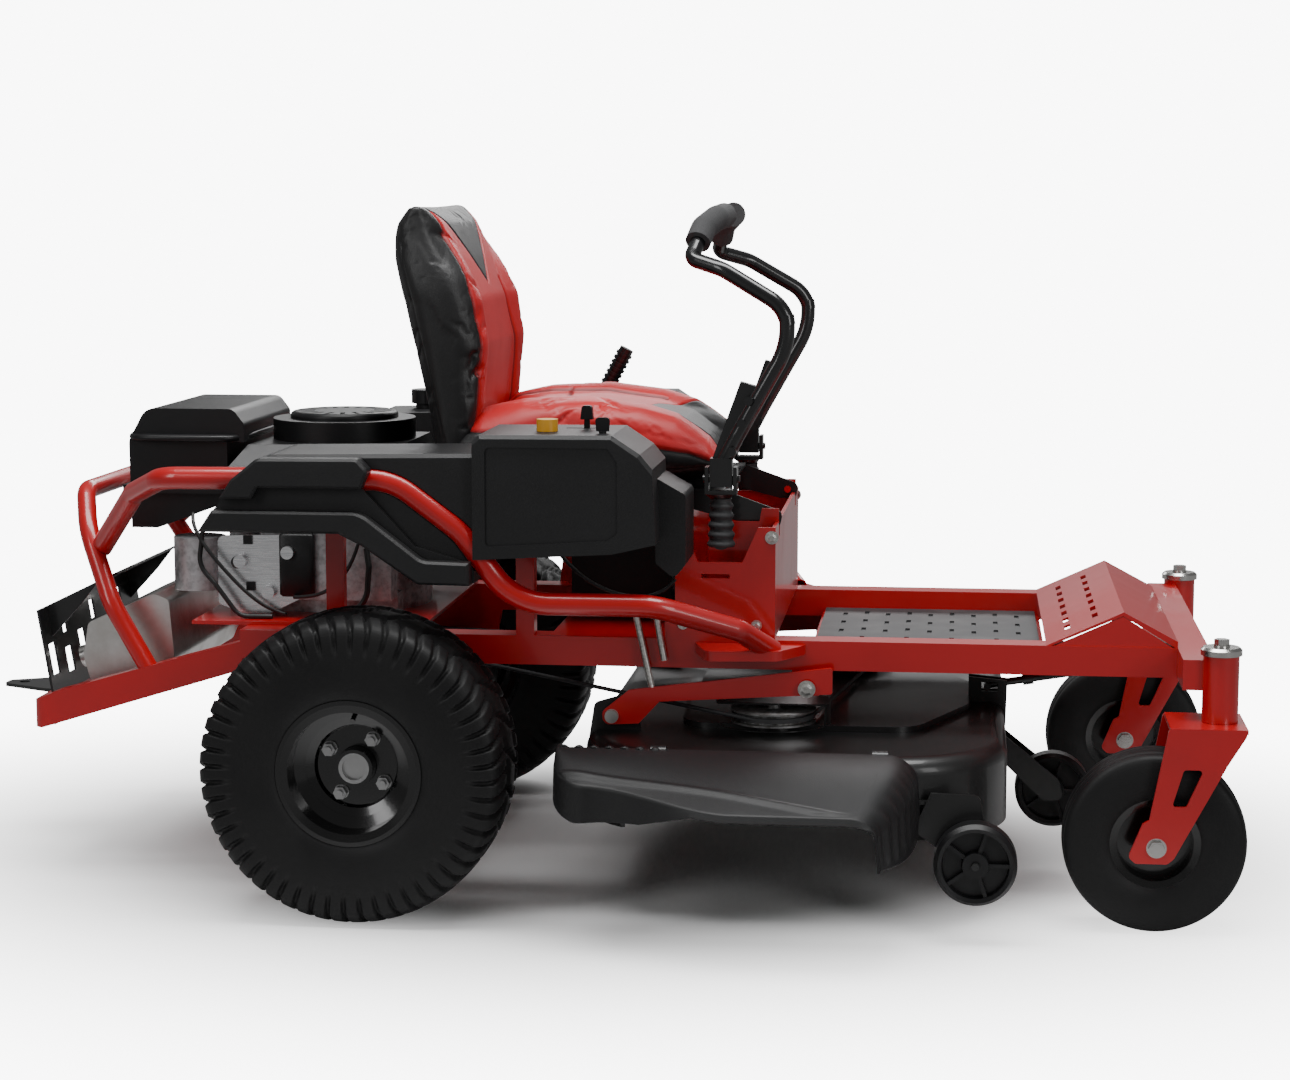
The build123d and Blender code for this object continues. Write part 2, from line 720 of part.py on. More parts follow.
def pto_knob():
    z = rail_top + 347
    return upright(pto_x, -pto_y, z - 16, z + 8, 8) + upright(pto_x, -pto_y, z + 1, z + 20, 17)


def throttle_lever():
    z = rail_top + 334 - 8
    arm = side_plate(
        [(throttle_x - 6, z - 6), (throttle_x - 4, z + 44), (throttle_x + 4, z + 44),
        (throttle_x + 6, z - 6)],
        -throttle_y - 2.5, -throttle_y + 2.5,
    )
    knob = side_plate(
        [(throttle_x - 10, z + 36), (throttle_x - 8, z + 58), (throttle_x + 8, z + 58),
        (throttle_x + 10, z + 36)],
        -throttle_y - 7, -throttle_y + 7, {1: 5, 2: 5},
    )
    return arm + knob - cross(throttle_x, z, -throttle_y - 8, -throttle_y + 8, 2.5 + run_gap)


# ---- Wheels ----
def tyre(x, z, y, od, width, rim_d, rim_w, flange, crown, wall):
    """Hollow tyre: a low crown, round shoulders, bulged walls and beads that sit inside the rim's flanges."""
    r, h = od / 2, width / 2
    seat = rim_d / 2 + seat_gap
    bead = rim_w / 2 - 4.5
    bulge = seat + (r - seat) * 0.52
    right = [
        (h * 0.5, r - crown * 0.25), (h - crown - 2, r - crown), (h - 3, r - crown * 2.4), (h, bulge),
        (h - 4, seat + flange + 10), (bead, seat + flange + 1), (bead, seat),
    ]
    hollow = [(bead - 15, seat), (h - wall - 7, seat + 20), (h - wall, bulge),
        (h - wall - 15, r - wall * 2), (0, r - wall)]
    outer = [(-a, b) for a, b in reversed(right)] + [(0, r)] + right
    return turned(outer + hollow + [(-a, b) for a, b in reversed(hollow[:-1])], x, z, y)


def rear_rim(side):
    """Dished steel disc in a rolled rim, with its hub, axle shaft and four nuts as solids of their own."""
    y, r, h = side * rear_track / 2, rear_rim_d / 2, rear_rim_w / 2
    s = side
    barrel = [
        (-h, r + 15), (-h + 3, r + 15), (-h + 4, r), (-28, r), (-22, r - 17), (34, r - 17), (40, r),
        (h - 4, r),
        (h - 3, r + 15), (h, r + 15), (h, r + 8), (h - 2, r - 4), (44, r - 4), (37, r - 21),
        (-26, r - 21), (-32, r - 4),
        (-h + 2, r - 4), (-h, r + 8),
    ]
    disc = [
        (30, r - 21), (26, r - 32), (18, 66), (18, 32), (22, 32), (22, 64), (30, r - 34), (36, r - 21),
    ]
    rim = turned([(s * a, b) for a, b in barrel], 0, rear_axle_z, y)
    rim += turned([(s * a, b) for a, b in disc], 0, rear_axle_z, y)
    pcd = hub_bolt_circle / 2
    hub = turned([(s * a, b) for a, b in [(8, 0), (8, 68), (18 - 0.01, 68), (18 - 0.01, 31.6), (48, 30),
        (48, 19), (42, 19), (42, 0)]],
                 0, rear_axle_z, y)
    hub += cross(0, rear_axle_z, y + s * 8, s * (rail_in - 40), axle_r)
    stem = rod((8, y + s * 60, rear_axle_z + r - 8), (8, y + s * 86, rear_axle_z + r - 18), 4)
    nuts = []
    for k in range(hub_bolts):
        angle = math.radians(-31 + k * 360 / hub_bolts)
        x, z = pcd * math.cos(angle), rear_axle_z + pcd * math.sin(angle)
        rim -= cross(x, z, y - 100, y + 100, 7)
        nut = Pos(x, y + s * 22.1, z) * Rot(90 * -s, 0, 0) * extrude(RegularPolygon(11, 6), amount=14)
        nuts.append(nut + cross(x, z, y + s * 18.3, y + s * 42, 6))
    return group(rim, hub, stem, *nuts)


def rear_tyre(side):
    y = side * rear_track / 2
    return tyre(0, rear_axle_z, y, rear_tyre_d, rear_tyre_w, rear_rim_d, rear_rim_w, 15, 14, 12)


def caster_fork(side):
    y, x, z = side * kingpin_y, kingpin_x, kingpin_bottom - run_gap
    out = caster_tyre_w / 2 + 18
    ax, az = wheelbase, caster_axle_z
    front = kingpin_x
    leg = side_plate(
        [
            (front - 82, z), (front + 42, z), (front + 8, z - 56), (ax + 27, az - 16), (ax + 17, az - 25),
            (ax - 32, az - 25), (ax - 43, az - 15), (ax - 22, az + 38), (ax - 12, az + 44),
        ],
        out - 6, out, {0: 8, 1: 8, 3: 8, 4: 8, 5: 8, 6: 8},
    )
    leg -= side_plate(
        [(front - 58, z - 64), (front - 28, z - 64), (ax + 44, az + 66), (ax + 22, az + 66)], out - 7,
        out + 1,
        {0: 5, 1: 5, 2: 5, 3: 5},
    )
    fork = both_sides(leg) + block(front - 80, front + 38, -out, out, z - 7, z)
    fork += cross(ax, az, -out - 9, out + 9, caster_axle_r)
    for s in (-1, 1):
        fork += Pos(ax, s * out, az) * Rot(-90 * s, 0, 0) * extrude(RegularPolygon(13, 6), amount=8)
    fork = Pos(0, y, 0) * fork
    fork += upright(x, y, z - 5, kingpin_top + 16, kingpin_r)
    cap = upright(x, y, kingpin_top + run_gap, kingpin_top + 13, 32)
    fork += chamfer(cap.edges().group_by(Axis.Z)[-1], 4)
    return fork + Pos(x, y, kingpin_top + 13) * extrude(RegularPolygon(12, 6), amount=12)


def caster_rim(side):
    r, h = caster_rim_d / 2, caster_rim_w / 2
    profile = [
        (-h, r + 9), (-h + 3, r + 9), (-h + 4, r), (h - 4, r), (h - 3, r + 9), (h, r + 9), (h - 3, r - 4),
        (6, r - 6),
        (6, 24), (h, 21), (h, caster_axle_r + run_gap), (-h, caster_axle_r + run_gap), (-h, 21), (-6, 24),
        (-6, r - 6),
        (-h + 3, r - 4),
    ]
    return turned(profile, wheelbase, caster_axle_z, side * kingpin_y)


def caster_tyre(side):
    y = side * kingpin_y
    return tyre(wheelbase, caster_axle_z, y, caster_tyre_d, caster_tyre_w, caster_rim_d, caster_rim_w, 9,
        16, 8)


# ---- Levers and seat ----
def lever_pivot(side):
    """Bracket that swings fore and aft on the tower's pin and carries the lap bar's hinge pin."""
    y, x, z = lever_y, lever_x, lever_z
    hub = cross(x, z, y - 10, y + 10, 17)
    stem = side_plate([(x - 12, z), (x - 14, z + 62), (x + 14, z + 62), (x + 12, z)], y - 8, y + 8)
    boot = loft([
        Plane((x, y, z + 62)) * Circle(13), Plane((x - 4, y, z + 74)) * Circle(24),
    ])
    fork = block(x - 26, x - 20, y - 16, y + 16, z + 74, z + 118)
    fork += block(x + 20, x + 26, y - 16, y + 16, z + 74, z + 118)
    fork += block(x - 26, x + 26, y - 16, y + 16, z + 74, z + 80)
    pin = rod((x - 30, y, z + bar_hinge_rise), (x + 30, y, z + bar_hinge_rise), 6)
    solid = hub + stem + boot + fork + pin - cross(x, z, y - 40, y + 40, lever_pin_r + run_gap)
    return solid if side > 0 else mirror(solid, about=Plane.XZ)


def lap_bar_points():
    y, z = lever_y, lever_z
    return [
        (lever_x, y, z + bar_hinge_rise + 22), (lever_x + 26, y + 4, z + 170), (671, y + 12, z + 322),
        (662, y + 12, z + 376),
        (560, y - 8, z + 436), (506, y - 34, z + 452), (514, y - 66, z + 478),
    ]


def lap_bar(side):
    path = lap_bar_points()
    tube = bent_tube(path, [60, 120, 60, 60, 20], lap_bar_r)
    x, y, z = lever_x, lever_y, lever_z + bar_hinge_rise
    foot = block(x - 18, x + 18, y - 14, y + 14, z - 12, z + 34)
    foot += side_plate([(x - 16, z + 30), (x + 16, z + 30), (x + 58, z + 150), (x + 30, z + 158)], y - 18,
        y + 3)
    for k, up in ((0, 46), (0.12, 92), (0.3, 128)):
        foot += cross(x + 4 + up * 0.32, z + up, y - 20, y + 24, 7)
    bar = tube + foot - rod((x - 40, y, z), (x + 40, y, z), 6 + run_gap)
    return bar if side > 0 else mirror(bar, about=Plane.XZ)


def grip_path():
    points = lap_bar_points()
    a, b = Vector(*points[-2]), Vector(*points[-1])
    along = (b - a).normalized()
    start = b + along * seat_gap
    return [start, start + along * 36, Vector(538, b.Y - 66, lever_z + 516),
        Vector(546, b.Y - 124, lever_z + 520)]


def grip(side):
    path = FilletPolyline(*grip_path(), radius=26)
    solid = sweep(Plane(origin=path @ 0, z_dir=path % 0) * Circle(grip_r), path=path)
    return solid if side > 0 else mirror(solid, about=Plane.XZ)


def seat_pan():
    half = seat_pan_w / 2
    z = pan_z
    pan = block(60, 560, -half, half, z, z + 6)
    runners = both_sides(block(100, 540, 120, 150, z + 6, z + 15 - seat_gap))
    ear = side_plate(
        [(440, z + 3), (560, z + 3), (seat_pivot_x + 20, seat_pivot_z + 10),
        (seat_pivot_x + 14, seat_pivot_z - 18),
         (seat_pivot_x - 14, seat_pivot_z - 16), (440, z - 12)],
        half - 5, half, {2: 12, 3: 12, 4: 12},
    )
    ear -= cross(seat_pivot_x, seat_pivot_z, half - 6, half + 1, seat_pin_r + run_gap)
    return pan + runners + both_sides(ear)


def seat_cushion():
    z, half = pan_z + 15, seat_w / 2
    shape = side_plate(
        [(116, z), (124, z + 70), (150, z + 108), (218, z + 118), (323, z + 127), (479, z + 94),
        (552, z + 52), (540, z + 26), (532, z)],
        -half, half, {3: 60, 4: 120, 5: 80, 6: 22},
    )
    return fillet(shape.edges().filter_by(lambda e: abs(abs(e.center().Y) - half) < 1 and e.center().Z > z + 5), 16)


def seat_backrest():
    z, half = pan_z + 15, seat_w / 2 - 8
    shape = side_plate(
        [(90, z), (67, z + 99), (35, z + 248), (6, z + 408), (18, z + 446), (47, z + 458), (84, z + 446),
         (112, z + 366), (142, z + 296), (152, z + 222), (140, z + 118), (120, z + 72), (112, z)],
        -half, half, {3: 20, 4: 20, 5: 20, 6: 24, 8: 60, 9: 80},
    )
    return fillet(shape.edges().filter_by(lambda e: abs(abs(e.center().Y) - half) < 1 and e.center().Z > z + 100), 8)


# ---- Cutting deck ----
def deck_outline(shrink):
    r = 190 - shrink
    x0, x1 = deck_rear + shrink, deck_front - shrink
    y0, y1 = deck_right + shrink, deck_left - shrink
    return [(x0, y0), (x1, y0), (x1, y1), (x0, y1)], {0: r, 1: r, 2: r, 3: r}


def deck_shell():
    points, radii = deck_outline(0)
    shell = flat_plate(points, deck_bottom, deck_top, radii)
    rim = fillet(shell.edges().group_by(Axis.Z)[-1], 26)
    inner, inner_radii = deck_outline(deck_wall)
    hollow = flat_plate(inner, deck_bottom - 1, deck_top - deck_wall, inner_radii)
    hollow = fillet(hollow.edges().group_by(Axis.Z)[-1], 22)
    shell = rim - hollow
    shell -= block(chute_x0 + 40, chute_x1 - 30, deck_right - 10, deck_right + 40, deck_bottom - 1,
        deck_top - 34)
    hump = flat_plate(
        [(deck_rear + 150, -300), (deck_front - 150, -300), (deck_front - 60, -80), (deck_front - 60, 120),
         (deck_front - 150, 330), (deck_rear + 150, 330)],
        deck_top - 1, deck_top + 10, {0: 60, 1: 60, 2: 60, 3: 60, 4: 60, 5: 60},
    )
    shell += hump
    for x, s in spindles:
        y = s * spindle_y
        shell += upright(x, y, deck_top - 62, belt_z - 12, 44)
        cover = upright(x, y, deck_top + 8, cover_top, 94) - upright(x, y, deck_top, cover_top - 3, 91)
        cover -= block(x - 100, x - 24, y - 100, y + 100, deck_top + 10, cover_top - 3)
        cover -= block(x - 100, x + 100, min(y, y - s * 100), max(y, y - s * 100), deck_top + 10,
            cover_top - 3)
        hanger_side = s * (rail_out - sheet - 4)
        shell += cover - block(x - 100, x + 100, *sorted((hanger_side, s * 500)), deck_top + 9,
            cover_top + 1)
        shell -= upright(x, y, deck_top - 63, deck_top + 15, spindle_r + run_gap)
    for s in (-1, 1):
        ya, yb = sorted((s * (arm_y - 9), s * (arm_y - 3)))
        hanger = side_plate(
            [(deck_rear - 4, deck_top - 60), (deck_rear + 12, deck_top + 44),
            (deck_rear + 86, deck_top + 66), (deck_rear + 88, deck_top - 12)],
            ya, yb, {1: 10, 2: 14},
        )
        hanger -= block(deck_bolt_x - 10, deck_bolt_x + 18, ya - 1, yb + 1, deck_bolt_z - 9,
            deck_bolt_z + 6.8)
        shell += hanger
    nose = side_plate(
        [(deck_front - 62, deck_top - 10), (deck_front - 62, link_deck_z + 16),
        (link_deck_x + 34, link_deck_z + 10),
         (deck_front + 2, deck_top - 40)],
        10, 15,
    )
    nose -= block(link_deck_x - 10, link_deck_x + 18, 9, 16, link_deck_z - 9, link_deck_z + 6.8)
    shell += both_sides(nose)
    reach = centre_wheel_x - deck_front
    arm = side_plate(
        [(deck_front - 20, deck_top - 38), (deck_front + reach + 10, deck_wheel_z + 22),
        (deck_front + reach + 20, deck_wheel_z - 14),
         (deck_front + reach - 16, deck_wheel_z - 16), (deck_front - 4, deck_top - 98)],
        deck_wheel_w / 2 + 3, deck_wheel_w / 2 + 9, {1: 14, 2: 12, 3: 12},
    )
    shell += both_sides(arm) + cross(centre_wheel_x, deck_wheel_z, -deck_wheel_w / 2 - 9,
        deck_wheel_w / 2 + 9, wheel_pin_r)
    for x, y, s in corner_wheels:
        plate_y = y - s * (deck_wheel_w / 2 + 4)
        ya, yb = sorted((plate_y, plate_y - s * 6))
        stay = side_plate(
            [(x - 70, deck_top - 50), (x + 6, deck_top - 52), (x + 22, deck_wheel_z),
            (x - 14, deck_wheel_z - 18), (x - 96, deck_top - 110)],
            ya, yb, {1: 12, 2: 16, 3: 14},
        )
        shelf = block(x - 120, x - 10, *sorted((plate_y - s * 6, s * (deck_w / 2) + deck_y - s * 90)),
            deck_top - 70, deck_top - 64)
        shell += stay + shelf
        shell += cross(x, deck_wheel_z, plate_y, y + s * (deck_wheel_w / 2 + 6), wheel_pin_r)
    for x in chute_eyes:
        web = [(chute_hinge_y, chute_hinge_z), (chute_hinge_y, chute_hinge_z - 9),
            (deck_right + 30, deck_top - 26),
               (deck_right + 30, deck_top - 6)]
        lug = extrude(outline([(x, y, z) for y, z in web]), amount=24, dir=(1, 0, 0))
        lug += rod((x, chute_hinge_y, chute_hinge_z), (x + 24, chute_hinge_y, chute_hinge_z), 11)
        shell += lug - rod((x - 1, chute_hinge_y, chute_hinge_z), (x + 25, chute_hinge_y, chute_hinge_z),
            6 + run_gap)
    return shell


def chute_deflector():
    """Moulded hood: a sloping roof with side walls, hinged on a rod along its inner edge."""
    reach, slope = chute_reach, math.radians(chute_slope)
    y0, z0 = chute_hinge_y, chute_hinge_z
    ye, ze = y0 - reach * math.cos(slope), z0 - reach * math.sin(slope)

    def section(x, drop, inset):
        return outline([
            (x, y0 - 4, z0 + 4), (x, ye + inset, ze + 4), (x, ye - 6 + inset, ze - drop),
            (x, ye + inset, ze - drop),
            (x, ye + 4 + inset, ze - 1), (x, y0 - 4, z0 - 1),
        ])

    roof = extrude(section(chute_x0 + 60, 12, 0), amount=chute_len - 60, dir=(1, 0, 0))
    front = hood_wall(chute_x1 - 6, chute_x1, 0, 74)
    rear = hood_wall(chute_x0 + 54, chute_x0 + 60, 0, 24)
    tail = flat_plate(
        [(chute_x0 + 56, y0 - 4), (chute_x0 + 56, ye + 60), (chute_x0 - 24, y0 - 74),
        (chute_x0 - 24, y0 - 30)],
        z0 - 52, z0 - 46, {2: 20, 3: 20},
    )
    knuckle = rod((chute_eyes[0] - 10, y0, z0), (chute_eyes[1] + 34, y0, z0), 6)
    ridge = block(chute_eyes[0] - 6, chute_eyes[1] + 30, y0 - 6, y0, z0 - 4, z0 + 4)
    hood = roof + front + rear + tail + ridge
    for x in chute_eyes:
        hood -= block(x - 2, x + 26, y0 - 14, y0 + 20, z0 - 30, z0 + 20)
    return hood + knuckle


def hood_wall(x0, x1, inset, drop):
    slope = math.radians(chute_slope)
    y0, z0 = chute_hinge_y, chute_hinge_z
    ye, ze = y0 - chute_reach * math.cos(slope), z0 - chute_reach * math.sin(slope)
    face = outline([(x0, y0 - 4, z0), (x0, ye + inset, ze + 3), (x0, ye + inset, ze - drop),
        (x0, y0 - 30, z0 - 150), (x0, y0 - 4, z0 - 150)])
    return extrude(face, amount=x1 - x0, dir=(1, 0, 0))


def blade(index):
    x, s = spindles[index]
    y = s * spindle_y
    z = deck_top - 108
    shaft = upright(x, y, z - 8, cover_top - 6, spindle_r)
    bar = Pos(x, y, z) * Rot(0, 0, 30 + index * 75) * Box(blade_len, 60, 6)
    lift = Pos(x, y, z) * Rot(0, 0, 30 + index * 75) * (
        Pos(blade_len / 2 - 60, 24, 8) * Rot(35, 0, 0) * Box(110, 22, 5)
        + Pos(-blade_len / 2 + 60, -24, 8) * Rot(-35, 0, 0) * Box(110, 22, 5)
    )
    pulley = upright(x, y, belt_z - 11, belt_z + 11, deck_pulley_r)
    groove = upright(x, y, belt_z - 8, belt_z + 8, deck_pulley_r + 1)
    pulley -= groove - upright(x, y, belt_z - 8, belt_z + 8, deck_pulley_r - 10)
    return shaft + bar + lift + pulley + upright(x, y, z - 14, z - 3, 20) + upright(x, y, z + 3, z + 40, 24)


def deck_belt():
    """One loop round both spindle pulleys and the engine pulley, with three straight spans."""
    (xr, _), (xl, _) = spindles
    rings = [((crank_x, 0, belt_drive_z), 52), ((xr, -spindle_y, belt_z), deck_pulley_r - 8),
        ((xl, spindle_y, belt_z), deck_pulley_r - 8)]
    belt = None
    for (c, r), (d, q) in zip(rings, rings[1:] + rings[:1]):
        a, b = Vector(*c), Vector(*d)
        flat = Vector(b.X - a.X, b.Y - a.Y, 0)
        angle = math.acos((r - q) / flat.length)
        normal = Vector(flat.X, flat.Y, 0).normalized().rotate(Axis.Z, -math.degrees(angle))
        span = rod(tuple(a + normal * (r + 3)), tuple(b + normal * (q + 3)), 3.5)
        ring = Pos(*c) * (Cylinder(r + 6.5, 7) - Cylinder(r + run_gap, 8))
        belt = span + ring if belt is None else belt + span + ring
    return belt


def deck_wheel(x, y):
    h, r = deck_wheel_w / 2, deck_wheel_r
    profile = [
        (-h, wheel_pin_r + run_gap), (-h, 20), (-8, 22), (-8, r - 14), (-h + 2, r - 12), (-h, r - 6),
        (-h + 8, r), (h - 8, r),
        (h, r - 6), (h - 2, r - 12), (8, r - 14), (8, 22), (h, 20), (h, wheel_pin_r + run_gap),
    ]
    wheel = turned(profile, x, deck_wheel_z, y)
    for k in range(5):
        rib = Pos(x, y, deck_wheel_z) * Rot(0, k * 72, 0) * block(20, r - 12, -h + 4, h - 4, -3, 3)
        wheel += rib
    return wheel


def lift_arms():
    x, z = lift_x, lift_z
    arm = side_plate(
        [(deck_bolt_x - 15, deck_bolt_z - 14), (deck_bolt_x - 16, deck_bolt_z + 8),
        (deck_bolt_x + 28, deck_bolt_z + 44),
         (x + 41, z + 37), (x + 41, z - 6), (deck_bolt_x + 78, z - 24),
         (deck_bolt_x + 44, deck_bolt_z - 11)],
        arm_y, arm_y + 8, {0: 12, 1: 12, 3: 4, 4: 4},
    )
    arm -= cross(x, z, arm_y - 1, arm_y + 9, lift_pin_r + run_gap)
    arm += cross(deck_bolt_x, deck_bolt_z, arm_y - 14, arm_y + 4, 6)
    arm += cross(deck_bolt_x, deck_bolt_z, arm_y + 8, arm_y + 14, 11)
    return both_sides(arm)


def lift_lever():
    x, y, z = lift_lever_x, lift_lever_y, lift_lever_z
    bend, top = Vector(x + 49, y, rail_top + 350), Vector(x + 92, y, rail_top + 432)
    lean = (top - bend).normalized()
    solid = cross(x, z, y - 10, y + 10, 24)
    solid += bent_tube([(x, y, z + 12), tuple(bend), tuple(top)], [60], 7)
    solid += rod(tuple(bend + lean * 12), tuple(top), 13)
    for k in range(7):
        at = bend + lean * (18 + k * 10)
        solid += rod(tuple(at), tuple(at + lean * 5), 15.5)
    return solid - cross(x, z, y - 30, y + 30, 10 + run_gap)


def lift_rods():
    y = arm_y - seat_gap - 5.5
    x, t = lift_rod_x, rail_top
    long_rod = rod((x - 32, y, t + 70), (x, y, lift_z - 2), 5.5)
    short_rod = rod((x + 2, y, t + 70), (x + 21, y, t - 34), 5.5)
    bridge = rod((x - 36, y, t + 62), (x + 8, y, t + 62), 7)
    return both_sides(long_rod + short_rod + bridge)


def front_link():
    a, b = (link_deck_x, 0, link_deck_z), (link_x, 0, link_z)
    bar = rod(a, b, 6.5)
    bar += cross(link_deck_x, link_deck_z, -22, 22, 6)
    eye = cross(link_x, link_z, -7, 7, 13)
    nut = rod((link_deck_x + 60, 0, link_deck_z + 60 * link_lean),
        (link_deck_x + 78, 0, link_deck_z + 78 * link_lean), 10)
    return bar + eye + nut - cross(link_x, link_z, -20, 20, 6 + run_gap)


# ---- The list of nodes ----
sides = {"right": -1, "left": 1}
nodes = {
    "frame_rails": frame_rails, "front_axle_beam": front_axle_beam, "rear_frame": rear_frame,
    "hitch_plate": hitch_plate, "bumper_hoop": bumper_hoop, "side_tubes": side_tubes,
    "seat_tower": seat_tower, "floor_mat": floor_mat, "footrest_panel": footrest_panel,
    "engine_block": engine_block, "cylinder_covers": cylinder_covers, "blower_housing": blower_housing,
    "debris_screen": debris_screen, "air_cleaner": air_cleaner, "engine_cables": engine_cables,
    "muffler": muffler, "muffler_guard": muffler_guard, "crankshaft": crankshaft, "transaxles": transaxles,
    "fenders": fenders, "consoles": consoles, "fuel_tank": fuel_tank, "battery": battery,
    "fuel_cap": fuel_cap, "ignition_key": ignition_key, "pto_knob": pto_knob,
        "throttle_lever": throttle_lever,
    "seat_pan": seat_pan, "seat_cushion": seat_cushion, "seat_backrest": seat_backrest,
    "deck_shell": deck_shell, "chute_deflector": chute_deflector, "deck_belt": deck_belt,
    "blade_right": lambda: blade(0), "blade_left": lambda: blade(1),
    "lift_arms": lift_arms, "lift_lever": lift_lever, "lift_rods": lift_rods, "front_link": front_link,
    "deck_wheel_right": lambda: deck_wheel(*corner_wheels[0][:2]),
    "deck_wheel_left": lambda: deck_wheel(*corner_wheels[1][:2]),
    "deck_wheel_centre": lambda: deck_wheel(centre_wheel_x, 0),
}
for word, side in sides.items():
    for name, maker in {
        "rear_rim": rear_rim, "rear_tyre": rear_tyre, "caster_fork": caster_fork, "caster_rim": caster_rim,
        "caster_tyre": caster_tyre, "lever_pivot": lever_pivot, "lap_bar": lap_bar, "grip": grip,
    }.items():
        nodes[f"{name}_{word}"] = lambda maker=maker, side=side: maker(side)

if __name__ == "__main__":
    os.makedirs("parts", exist_ok=True)
    for name, maker in nodes.items():
        export_step(maker(), f"parts/{name}.step")
    print(len(nodes), "nodes written")
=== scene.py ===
# %% [markdown]
# # A zero-turn riding mower, finished in Blender
# The mower arrives as a fixed frame of measured CAD pieces, each riding on its own moving body.
# This file gives every piece its finish and remakes the pieces whose look needs more than a CAD solid:
# tyres, upholstery, moulded plastic, foam, wire and fasteners. All lengths are metres.

import math

import bmesh
import bpy
import numpy as np
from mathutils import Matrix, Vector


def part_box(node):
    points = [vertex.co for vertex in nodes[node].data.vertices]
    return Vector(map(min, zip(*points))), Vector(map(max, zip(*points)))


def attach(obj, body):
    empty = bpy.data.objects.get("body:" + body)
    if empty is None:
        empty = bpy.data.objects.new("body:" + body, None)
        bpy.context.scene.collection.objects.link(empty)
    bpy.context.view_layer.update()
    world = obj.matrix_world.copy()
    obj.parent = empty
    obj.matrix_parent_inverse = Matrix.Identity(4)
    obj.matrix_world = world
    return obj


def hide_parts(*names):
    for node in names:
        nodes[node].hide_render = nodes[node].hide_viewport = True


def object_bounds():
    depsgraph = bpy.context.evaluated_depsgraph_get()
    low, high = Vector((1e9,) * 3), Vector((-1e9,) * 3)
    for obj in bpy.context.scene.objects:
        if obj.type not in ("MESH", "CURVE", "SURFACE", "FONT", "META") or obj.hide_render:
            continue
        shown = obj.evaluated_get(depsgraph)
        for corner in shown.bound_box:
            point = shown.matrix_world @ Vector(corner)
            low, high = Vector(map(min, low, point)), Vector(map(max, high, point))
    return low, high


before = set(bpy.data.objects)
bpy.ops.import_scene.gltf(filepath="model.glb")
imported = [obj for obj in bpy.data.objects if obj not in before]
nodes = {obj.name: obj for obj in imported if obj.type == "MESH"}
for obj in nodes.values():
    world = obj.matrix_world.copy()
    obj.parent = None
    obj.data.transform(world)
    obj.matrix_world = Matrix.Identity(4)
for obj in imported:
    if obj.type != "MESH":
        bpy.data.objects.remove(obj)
cad_low, cad_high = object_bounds()
print("nodes:", len(nodes), "box:", [round(a, 3) for a in cad_high - cad_low])

# %% [markdown]
# ## Camera, floor and light
# A long lens from the mower's right, a little above the seat, keeps the wheels nearly round. The floor is a
# pale sheet, and four large soft lamps give the long highlights that painted tubes show in a studio.

# %% Camera
camera_place = (0.942, -4.585, 1.157)
camera_turn = math.radians(6.72)
camera_dip = math.radians(7.51)
camera_lens = 74.7

camera_data = bpy.data.cameras.new("camera")
camera_data.lens = camera_lens
camera_data.sensor_width = 36.0
camera = bpy.data.objects.new("camera", camera_data)
camera.location = camera_place
camera.rotation_euler = (math.pi / 2 - camera_dip, 0, camera_turn)
bpy.context.collection.objects.link(camera)
bpy.context.scene.camera = camera

# %% Studio
centre = (cad_low + cad_high) / 2


def area_light(name, place, size, power, aim=None):
    """A square soft lamp at place that looks at aim."""
    data = bpy.data.lights.new(name, "AREA")
    data.shape = "RECTANGLE"
    data.size, data.size_y = size
    data.energy = power
    lamp = bpy.data.objects.new(name, data)
    lamp.location = place
    target = centre if aim is None else aim
    lamp.rotation_euler = (target - lamp.location).to_track_quat("-Z", "Y").to_euler()
    bpy.context.collection.objects.link(lamp)
    return lamp


area_light("overhead", (0.4, -0.6, 4.2), (3.6, 1.6), 210)
area_light("front_left", (-2.6, -3.8, 2.6), (1.2, 2.2), 42)
area_light("front_right", (3.6, -3.4, 2.0), (1.2, 2.2), 46)
area_light("back", (0.6, 4.2, 2.8), (4.0, 1.2), 90)

world = bpy.data.worlds.new("studio")
world.use_nodes = True
world.node_tree.nodes["Background"].inputs["Color"].default_value = (1.0, 1.0, 1.0, 1.0)
strength = world.node_tree.nodes.new("ShaderNodeMapRange")
strength.inputs["To Min"].default_value, strength.inputs["To Max"].default_value = 0.16, 9.0
seen = world.node_tree.nodes.new("ShaderNodeLightPath")
world.node_tree.links.new(seen.outputs["Is Camera Ray"], strength.inputs["Value"])
world.node_tree.links.new(strength.outputs["Result"], world.node_tree.nodes["Background"].inputs["Strength"])
bpy.context.scene.world = world
